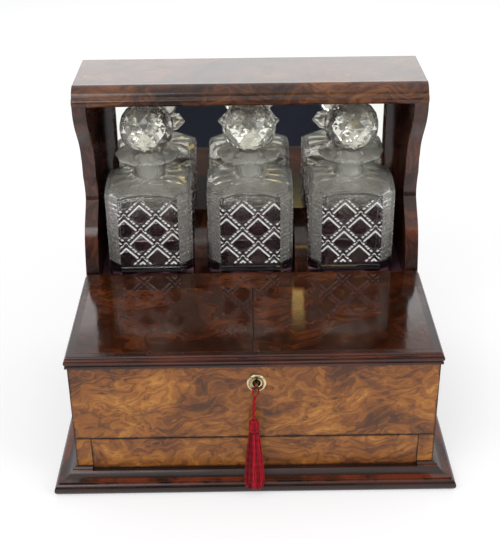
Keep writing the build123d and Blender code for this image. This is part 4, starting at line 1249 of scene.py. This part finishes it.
@dataclass
class Stopper:
    """Lapidary ball stopper: rings of points half a step apart, joined by flat facets, on a ground plug."""

    place: Place
    facets: int = 14
    plug_radius: float = 0.00954
    plug_length: float = 0.0138

    def build(self, finishes: "Finishes") -> list:
        """Makes the cut ball and the ground plug below it, as two pieces with one finish each."""
        node = f"stopper_{self.place.value}"
        low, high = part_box(node)
        centre = np.array(((low.x + high.x) / 2, (low.y + high.y) / 2, 0.0))
        seat, top = high.z - 0.0479, high.z
        largest = (high.x - low.x) / 2 * 0.995
        levels = np.array((0.0, 0.0034, 0.0085, 0.0148, 0.0219, 0.0292, 0.0361, 0.0420, 0.0460, 0.0479))
        shares = np.array((0.46, 0.66, 0.845, 0.965, 1.0, 0.985, 0.90, 0.74, 0.54, 0.30))
        rows = len(levels)
        step = 2 * math.pi / self.facets
        angle = np.arange(self.facets) * step + (np.arange(rows) % 2)[:, None] * step / 2
        radius = (shares * largest)[:, None]
        ball = np.stack(
            (
                radius * np.cos(angle), radius * np.sin(angle),
                np.broadcast_to(seat + levels[:, None], angle.shape)
            ),
            axis=-1
        )
        column = np.arange(self.facets)
        beside = (column + 1) % self.facets
        faces = []
        for row in range(rows - 1):
            near, far = row * self.facets, (row + 1) * self.facets
            if row % 2:
                faces += [
                    np.stack((near + column, near + beside, far + beside), axis=1),
                    np.stack((near + column, far + beside, far + column), axis=1)
                ]
            else:
                faces += [
                    np.stack((near + column, near + beside, far + column), axis=1),
                    np.stack((near + beside, far + beside, far + column), axis=1)
                ]
        count = ball.size // 3
        crown = np.stack(
            (
                np.full(self.facets, count), (rows - 1) * self.facets + column,
                (rows - 1) * self.facets + beside
            ),
            axis=1
        )
        base = np.stack((np.full(self.facets, count + 1), beside, column), axis=1)
        points = np.concatenate((ball.reshape(-1, 3), [[0, 0, top]], [[0, 0, seat]])) + centre
        piece = mesh_of(
            f"cut_{node}", points, np.zeros((0, 4), int), np.concatenate((*faces, crown, base)), False
        )
        body = f"{self.place.value}_stopper"
        finish_piece(piece, body, "cut_glass", [finishes.facet_crystal], node)
        radii = np.array((0.0086, self.plug_radius, self.plug_radius, self.plug_radius))[:, None]
        heights = seat - 0.0004 - np.array((self.plug_length, self.plug_length - 0.001, 0.004, 0.0))[:, None]
        turn = np.linspace(0, 2 * math.pi, 48, endpoint=False)
        plug = np.stack(
            (radii * np.cos(turn), radii * np.sin(turn), np.broadcast_to(heights, (4, 48))), axis=-1
        ) + centre
        ground = closed_rings(f"ground_plug_{self.place.value}", plug)
        finish_piece(ground, body, "cut_glass", [finishes.ground_glass])
        return [piece, ground]


# ---------------------------------------------------------------- tassel
def route_line(name: str, places: np.ndarray, rows: int) -> np.ndarray:
    """Even points along a cord's route.

    Args:
        name: What the route is called.
        places: The route's own points, in order.
        rows: How many points come back.

    Returns:
        Points at even lengths along the NURBS spline that the places steer.
    """
    curve = bpy.data.curves.new(name, "CURVE")
    curve.dimensions = "3D"
    curve.resolution_u = 16
    spline = curve.splines.new("NURBS")
    spline.points.add(len(places) - 1)
    spline.points.foreach_set("co", np.concatenate((places, np.ones((len(places), 1))), axis=1).reshape(-1))
    spline.order_u = 3
    spline.use_endpoint_u = True
    holder = bpy.data.objects.new(name, curve)
    mesh = bpy.data.meshes.new_from_object(holder)
    line = np.zeros(len(mesh.vertices) * 3)
    mesh.vertices.foreach_get("co", line)
    line = line.reshape(-1, 3)
    bpy.data.meshes.remove(mesh)
    bpy.data.objects.remove(holder)
    bpy.data.curves.remove(curve)
    gone = np.concatenate(([0.0], np.cumsum(np.linalg.norm(np.diff(line, axis=0), axis=1))))
    even = np.linspace(0.0, gone[-1], rows)
    return np.stack([np.interp(even, gone, line[:, axis]) for axis in range(3)], axis=1)


@dataclass
class Tassel:
    """Silk tassel on the key: a loop through the bow, two strands wound into a cord, a head and a skirt."""

    pivot: tuple = (-0.0006, -0.124, 0.1077)
    lean: float = 9.95
    loop_x: float = 0.0013
    loop_radius: float = 0.00265
    loop_top: float = 0.1083
    strand: float = 0.00075
    cord_diameter: float = 0.0032
    cord_start: float = 0.0010
    cord_join: float = 0.0072
    cord_end: float = 0.0430
    head_start: float = 0.0295
    neck: float = 0.0425
    length: float = 0.1008
    strands: int = 380
    twist_pitch: float = 0.0066
    keep: float = 0.56
    bulb: tuple = ((0.0, 0.0020), (0.0015, 0.0037), (0.0045, 0.0046), (0.0090, 0.0045), (0.0130, 0.0035))
    skirt: tuple = (
        (0.0, 0.0033, 0.0029), (0.0035, 0.0049, 0.0035), (0.0150, 0.0060, 0.0034), (0.0360, 0.0082, 0.0031),
        (0.0490, 0.0089, 0.0028), (0.0590, 0.0085, 0.0027)
    )

    def __post_init__(self) -> None:
        """Sets the way the tassel hangs and the way its face looks."""
        lean = math.radians(self.lean)
        self.down = np.array((0.0, -math.sin(lean), -math.cos(lean)))
        self.out = np.array((0.0, -math.cos(lean), math.sin(lean)))
        self.across = np.array((1.0, 0.0, 0.0))

    def at(
        self, distance: np.ndarray, side: np.ndarray | float = 0.0, front: np.ndarray | float = 0.0
    ) -> np.ndarray:
        """Points a distance down from the pivot, moved to the side and to the front."""
        distance, side, front = np.broadcast_arrays(distance, side, front)
        return (
            np.array(self.pivot) + distance[..., None] * self.down
            + side[..., None] * self.across + front[..., None] * self.out
        )

    def dress(self, piece: bpy.types.Object, finishes: "Finishes", *nodes: str) -> bpy.types.Object:
        """Finishes a piece of the tassel."""
        finish_piece(piece, "tassel", "crimson_silk", [finishes.silk], *nodes)
        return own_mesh(piece)

    def spread(self, gone: np.ndarray) -> np.ndarray:
        """How far each strand lies from the cord's line: the loop's half width, then a quarter cord."""
        share = np.clip((gone - 0.0018) / (self.cord_join - self.cord_start - 0.0018), 0.0, 1.0)
        return self.loop_radius + (
            self.cord_diameter * 0.25 - self.loop_radius
        ) * share * share * (3.0 - 2.0 * share)

    def make_cord(self) -> tuple:
        """The loop's two sides and the two strands wound round each other below them.

        Each strand is the route's own line, moved round it by an angle that starts to grow evenly where the
        sides meet.
        """
        rows = 110
        shift = self.loop_x - self.pivot[0]
        down = np.array((self.cord_start, 0.0040, 0.0066, 0.0095, 0.0140, 0.0220, 0.0320, self.cord_end))
        line = route_line(
            "tassel_cord_route", self.at(down, shift * np.array((1.0, 0.95, 0.6, 0.22, 0.0, 0.0, 0.0, 0.0))),
            rows
        )
        gone = np.linspace(0.0, np.linalg.norm(np.diff(line, axis=0), axis=1).sum(), rows)
        turn = 2 * math.pi * np.maximum(gone - (self.cord_join - self.cord_start), 0.0) / self.twist_pitch
        turn = turn + np.array((0.0, math.pi))[:, None]
        away = np.cos(turn)[..., None] * self.across + np.sin(turn)[..., None] * self.out
        strands = line[None] + self.spread(gone)[None, :, None] * away
        size = self.strand + (
            self.cord_diameter * 0.27 - self.strand
        ) * np.clip((gone - 0.005) / 0.003, 0.0, 1.0)
        rings = sweep(
            strands, np.broadcast_to(self.across, strands.shape), np.broadcast_to(self.out, strands.shape),
            np.broadcast_to(size, (2, rows)), 8
        )
        return tubes("tassel_cord_twist", rings, np.array((0.5, 0.72))), line[:: rows // 22]

    def make_loop(self) -> bpy.types.Object:
        """Half a circle over the bow's rim, carried a little down each side to where the strands begin."""
        rows = 40
        angle = np.linspace(-0.06, 1.06, rows) * math.pi
        middle = np.array((self.loop_x, self.pivot[1], self.loop_top))
        line = middle + self.loop_radius * np.stack((np.cos(angle), np.zeros(rows), np.sin(angle)), axis=-1)
        foot = np.clip(np.abs(angle - math.pi / 2) - math.pi / 2, 0.0, 1.0)[:, None]
        line = line + foot * np.array((0.0, 0.0, -0.010))
        away = np.stack((np.cos(angle), np.zeros(rows), np.sin(angle)), axis=-1)
        rings = sweep(
            line[None], away[None], np.broadcast_to(np.array((0.0, -1.0, 0.0)), (1, rows, 3)),
            np.full((1, rows), self.strand), 10
        )
        return tubes("tassel_key_loop", rings, np.array((0.66,)))

    def make_head(self, shades: np.random.Generator) -> bpy.types.Object:
        """Threads laid over a barrel-shaped mould from the cord to the neck."""
        threads, rows = 48, 24
        share = np.linspace(0, 1, rows)
        depth = share * (self.neck - self.head_start)
        bulb = np.interp(depth, *np.array(self.bulb).T)
        angle = np.arange(threads)[:, None] * 2 * math.pi / threads
        line = self.at(
            np.broadcast_to(self.head_start + depth, (threads, rows)), bulb * np.cos(angle),
            bulb * np.sin(angle)
        )
        side = -np.sin(angle)[..., None] * self.across + np.cos(angle)[..., None] * self.out
        away = np.cos(angle)[..., None] * self.across + np.sin(angle)[..., None] * self.out
        size = 0.00016 + 0.040 * bulb
        rings = sweep(
            line, np.broadcast_to(side, line.shape), np.broadcast_to(-away, line.shape),
            np.broadcast_to(size, (threads, rows)), 6
        )
        return tubes("tassel_head", rings, 0.3 + 0.5 * shades.random(threads))

    def make_binding(self) -> bpy.types.Object:
        """One thread wound round the neck: a helix of few turns."""
        turns, rows = 3, 120
        share = np.linspace(0, 1, rows)
        angle = share * turns * 2 * math.pi
        line = self.at(
            self.neck - 0.0014 + share * 0.0016, 0.0040 * np.cos(angle), 0.0038 * np.sin(angle)
        )[None]
        away = (np.cos(angle)[:, None] * self.across + np.sin(angle)[:, None] * self.out)[None]
        rings = sweep(line, away, np.broadcast_to(self.down, line.shape), np.full((1, rows), 0.00034), 8)
        return tubes("tassel_binding", rings, np.array((0.2,)))

    def make_skirt(self, random: np.random.Generator) -> bpy.types.Object:
        """Strands that leave the neck in a bundle and spread into a flat skirt, each slightly waved.

        A strand's side place is its angle's cosine times the skirt's half width at that depth, and its
        front place is the sine times the half depth there.
        """
        rows = 20
        share = np.linspace(0, 1, rows)
        angle = random.random(self.strands)[:, None] * 2 * math.pi
        reach = np.sqrt(random.random(self.strands))[:, None] * 0.5 + 0.5
        hem = self.length - 0.0060 * random.random(self.strands)[:, None] ** 1.5 - 0.0022 * np.abs(
            np.cos(angle)
        ) ** 3
        distance = self.neck - 0.0022 + share * (hem - self.neck + 0.0022)
        depth, width, thickness = np.array(self.skirt).T
        half_width = np.interp(distance - self.neck + 0.0022, depth, width)
        half_depth = np.interp(distance - self.neck + 0.0022, depth, thickness)
        wave = 0.0006 * np.sin(
            share * (
                3.0 + 4.0 * random.random(self.strands)[:, None]
            ) + 6.3 * random.random(self.strands)[:, None]
        ) * share
        side = np.clip(reach * half_width * np.cos(angle) + wave, -0.0090, 0.0090)
        line = self.at(distance, side, reach * half_depth * np.sin(angle))
        rings = sweep(
            line, np.broadcast_to(self.across, line.shape), np.broadcast_to(self.out, line.shape),
            np.broadcast_to(0.00030 + 0.00005 * share, line.shape[:2]), 5
        )
        return tubes("tassel_skirt", rings, random.random(self.strands))

    def build(self, finishes: "Finishes") -> list:
        """Makes the tassel's pieces."""
        random = np.random.default_rng(7)
        cord, path = self.make_cord()
        loop, head = self.make_loop(), self.make_head(random)
        binding, skirt = self.make_binding(), self.make_skirt(random)
        self.dress(cord, finishes, "tassel_cord")
        self.dress(skirt, finishes, "tassel")
        for piece in (loop, head, binding):
            self.dress(piece, finishes)
        return [cord, loop, head, binding, skirt]


# ---------------------------------------------------------------- springs
@dataclass(frozen=True)
class PressedSpring:
    """A steel spring under the release button: the button's coil, or the drawer catch's strip and stem.

    The spring keeps the solid's own shape: the coil does not shorten, and the strip does not bend from its
    fixed foot as a real one does.
    """

    node: str
    body: str
    foot: float
    travel: float = 0.0025

    def build(self, solid: bpy.types.Object, finishes: "Finishes") -> bpy.types.Object:
        """Makes a spring of the solid's own shape.

        Args:
            solid: The node's object, whose mesh is copied.
            finishes: The finishes of the scene.

        Returns:
            The spring, which stands for the node.
        """
        spring = bpy.data.objects.new(f"pressed_{self.node}", solid.data.copy())
        bpy.context.scene.collection.objects.link(spring)
        finish_piece(spring, self.body, "spring_steel", [finishes.steel], self.node)
        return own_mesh(spring)


# ---------------------------------------------------------------- finishes on the solids
FRONT_BURR: Stops = (
    (0.16, tone(82, 44, 16)), (0.36, tone(126, 72, 26)), (0.55, tone(158, 96, 37)),
    (0.74, tone(184, 121, 51)), (0.92, tone(210, 151, 76))
)
LID_BURR: Stops = (
    (0.18, tone(40, 18, 9)), (0.42, tone(62, 29, 14)), (0.62, tone(84, 41, 19)), (0.82, tone(108, 56, 27))
)
BOARD_WALNUT: Stops = (
    (0.2, tone(30, 16, 12)), (0.45, tone(62, 32, 23)), (0.65, tone(88, 45, 29)), (0.85, tone(118, 64, 40))
)
# A darker copy of the board walnut, which is painted shade for the dividers deep in the wells.
SHADED_BOARD_WALNUT: Stops = (
    (0.2, tone(22, 13, 10)), (0.45, tone(42, 24, 18)), (0.65, tone(60, 34, 24)), (0.85, tone(84, 46, 30))
)
CANOPY_WALNUT: Stops = (
    (0.18, tone(38, 20, 12)), (0.42, tone(74, 40, 22)), (0.62, tone(104, 60, 33)), (0.84, tone(130, 82, 46))
)
DARK_VEIN = tone(34, 17, 11)
BLACK_VEIN = tone(12, 7, 5)


class Finishes:
    """Every material on the object, each made once."""

    def __init__(self) -> None:
        """Makes the finishes that whole groups of pieces share."""
        self.effects = Effects()
        # The plum low in this crystal is the lining's painted reflection and shade.
        self.crystal = Crystal("cut_crystal", painted_lining_tint=(0.33, 0.21, 0.27)).build(self.effects)
        self.ground_glass = Crystal("ground_glass", 0.28, 0.42, (0.97, 0.97, 0.95), 0.6).build(self.effects)
        # Painted light: the mostly white cut look is a painted highlight on the up-facing cut walls. The lit
        # look is a less clear, creamier copy that paints light on the shoulders, neck, lip and back faces.
        self.painted_highlight_cut = Crystal("painted_highlight_cut", 0.05, 0.14, (0.99, 0.99, 0.96), 0.2).build(self.effects)
        self.lit_crystal = Crystal("lit_crystal", 0.0, 0.02, (0.99, 0.985, 0.90), 0.85).build(self.effects)
        self.corner_crystal = Crystal(
            "corner_crystal", 0.0, 0.04, (0.99, 0.985, 0.91), 0.86
        ).build(self.effects)
        self.inner_crystal = Crystal("inner_crystal", 0.0, 0.02).build(self.effects)
        self.facet_crystal = Crystal(
            "facet_crystal", 0.0, 0.01, (0.99, 0.985, 0.92), 0.95
        ).build(self.effects)
        self.silver = SilveredGlass().build(self.effects)
        self.baize = Baize().build()
        self.silk = Silk().build(self.effects)
        self.brass = Metal(
            "lacquered_brass", tone(236, 222, 176), tone(190, 164, 112), 0.2, 0.45
        ).build(self.effects)
        # Dark old brass: tarnish on the key and the lock. On the lock barrel seen in the keyhole, it is
        # partly painted shade of the recess.
        self.old_brass_and_keyhole_shade = Metal(
            "dark_brass", tone(120, 98, 60), tone(52, 40, 26), 0.34, 0.7
        ).build(self.effects)
        self.steel = Metal("blued_steel", tone(92, 98, 112), tone(44, 46, 54), 0.3, 0.6).build(self.effects)
        self.carcass = SecondaryWood().build(self.effects)
        self.plinth_side = Moulding("plinth_side", Facing.Y, (0.0205, 0.0126, 0.0112)).build(self.effects)
        self.plinth_front = Moulding("plinth_front", Facing.X, (0.0178, 0.0126, 0.0112)).build(self.effects)
        self.lid_front = Moulding(
            "lid_front_moulding", Facing.X, (0.1331, 0.1385), middle=tone(58, 27, 18), light=tone(100, 46, 27)
        ).build(self.effects)
        self.lid_side = Moulding(
            "lid_side_moulding", Facing.Y, (0.1331, 0.1385), middle=tone(52, 25, 18), light=tone(90, 42, 26)
        ).build(self.effects)

    def veneer(self, node: str, finish: WalnutVeneer) -> bpy.types.Material:
        """The veneer for one solid, with painted shade laid along its own border."""
        low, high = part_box(node)
        return finish.build(self.effects, low, high)


def veneers() -> dict:
    """The veneer of each polished solid, by the solid's name."""
    front = dict(
        palette=FRONT_BURR, vein=tone(70, 36, 20), figure_scale=22.0, swirl=0.42, gap_shade_width=0.0024,
        roughness=0.34
    )
    lid = dict(
        palette=LID_BURR, vein=tone(34, 17, 9), figure_scale=15.0, swirl=0.45, burr=0.4, facing=Facing.Z,
        roughness=0.07, smear=0.07, ripple=0.06, gap_shade_width=0.0011
    )
    board = dict(
        palette=BOARD_WALNUT, vein=BLACK_VEIN, figure_scale=13.0, swirl=0.35, burr=0.15, roughness=0.12
    )
    return {
        "case_front_panel": WalnutVeneer("front_burr", shift=(0.31, 0.0, 0.12), turn=(0, 14, 0), **front),
        "drawer_front": WalnutVeneer("drawer_burr", shift=(0.12, 0.0, 0.93), turn=(0, 8, 0), **front),
        "drawer_stiles": WalnutVeneer("stile_burr", shift=(0.5, 0.2, 0.0), **front),
        "left_lid_panel": WalnutVeneer(
            "left_lid_burr", shift=(0.2, 0.3, 0.0), turn=(0, 0, 12), open_low=(0.02, 0.0, 0.0),
            open_high=(0.0, 0.02, 0.0), **lid
        ),
        "right_lid_panel": WalnutVeneer(
            "right_lid_burr", shift=(0.9, 0.1, 0.0), turn=(0, 0, -9), open_high=(0.02, 0.02, 0.0), **lid
        ),
        "retaining_flap": WalnutVeneer("flap_burr", shift=(0.2, 0.6, 0.0), **{**lid, "gap_shade_width": 0.0}),
        "canopy": WalnutVeneer(
            "canopy_walnut", palette=CANOPY_WALNUT, vein=DARK_VEIN, figure_scale=20.0, swirl=0.35, burr=0.2,
            shift=(0.1, 0.4, 0.0), roughness=0.14
        ),
        "left_end_board": WalnutVeneer("left_board_walnut", turn=(0, 90, 0), **board),
        "right_end_board": WalnutVeneer(
            "right_board_walnut", shift=(0.4, 0.1, 0.2), turn=(0, 90, 0), **board
        ),
        "case_left_side": WalnutVeneer("left_side_walnut", turn=(0, 0, 90), **board),
        "case_right_side": WalnutVeneer("right_side_walnut", shift=(0.3, 0.2, 0.2), turn=(0, 0, 90), **board),
        "mirror_frame": WalnutVeneer("frame_walnut", turn=(0, 90, 0), **board),
        # The dividers take the darker copy of the board walnut, as painted shade.
        "well_dividers": WalnutVeneer(
            "divider_walnut", turn=(0, 90, 0), shift=(0.2, 0.1, 0.0), **{**board, "palette": SHADED_BOARD_WALNUT}
        ),
    }


def dress_solids(finishes: Finishes, solids: dict) -> None:
    """Puts a finish on every solid.

    Args:
        finishes: The object's materials.
        solids: The solids' objects by name.
    """
    wanted = {node: finishes.veneer(node, finish) for node, finish in veneers().items()}
    groups = {
        finishes.plinth_front: ("plinth_front",),
        finishes.plinth_side: ("plinth_left", "plinth_right"),
        finishes.lid_front: ("left_lid_front_moulding", "right_lid_front_moulding"),
        finishes.lid_side: ("left_lid_side_moulding", "right_lid_side_moulding", "flap_end_mouldings"),
        finishes.silver: ("mirror_glass",),
        finishes.baize: ("deck_lining",),
        finishes.steel: ("button_spring", "catch_spring", "ejector_spring"),
        finishes.brass: (
            "escutcheon", "release_button", "flap_hinges", "hinge_case_leaves", "left_hinge_leaves",
            "right_hinge_leaves", "hinge_pins", "left_link_plate", "right_link_plate", "lock_cap"
        ),
        # The lock barrel's dark brass is partly painted shade in the keyhole.
        finishes.old_brass_and_keyhole_shade: ("key", "lock_barrel", "lock_case", "lock_bolt"),
    }
    wanted.update({node: material for material, nodes in groups.items() for node in nodes})
    for name, solid in solids.items():
        material = wanted.get(name, finishes.carcass)
        solid.data.materials.clear()
        solid.data.materials.append(material)
        LOG.info("%s wears %s", name, material.name)


def main() -> None:
    """Builds the studio and the object."""
    logging.basicConfig(level=logging.INFO, format="%(name)s: %(message)s")
    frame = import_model()
    bpy.context.scene.view_settings.view_transform = "Standard"
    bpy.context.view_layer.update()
    Studio().build()
    finishes = Finishes()
    dress_solids(finishes, frame["nodes"])
    for place in Place:
        Decanter(place).build(finishes)
        Stopper(place).build(finishes)
    Tassel().build(finishes)
    for spring in (
        PressedSpring("button_spring", "case", 0.1195), PressedSpring("catch_spring", "drawer", 0.0472)
    ):
        spring.build(frame["nodes"][spring.node], finishes)


if __name__ == "__main__":
    main()
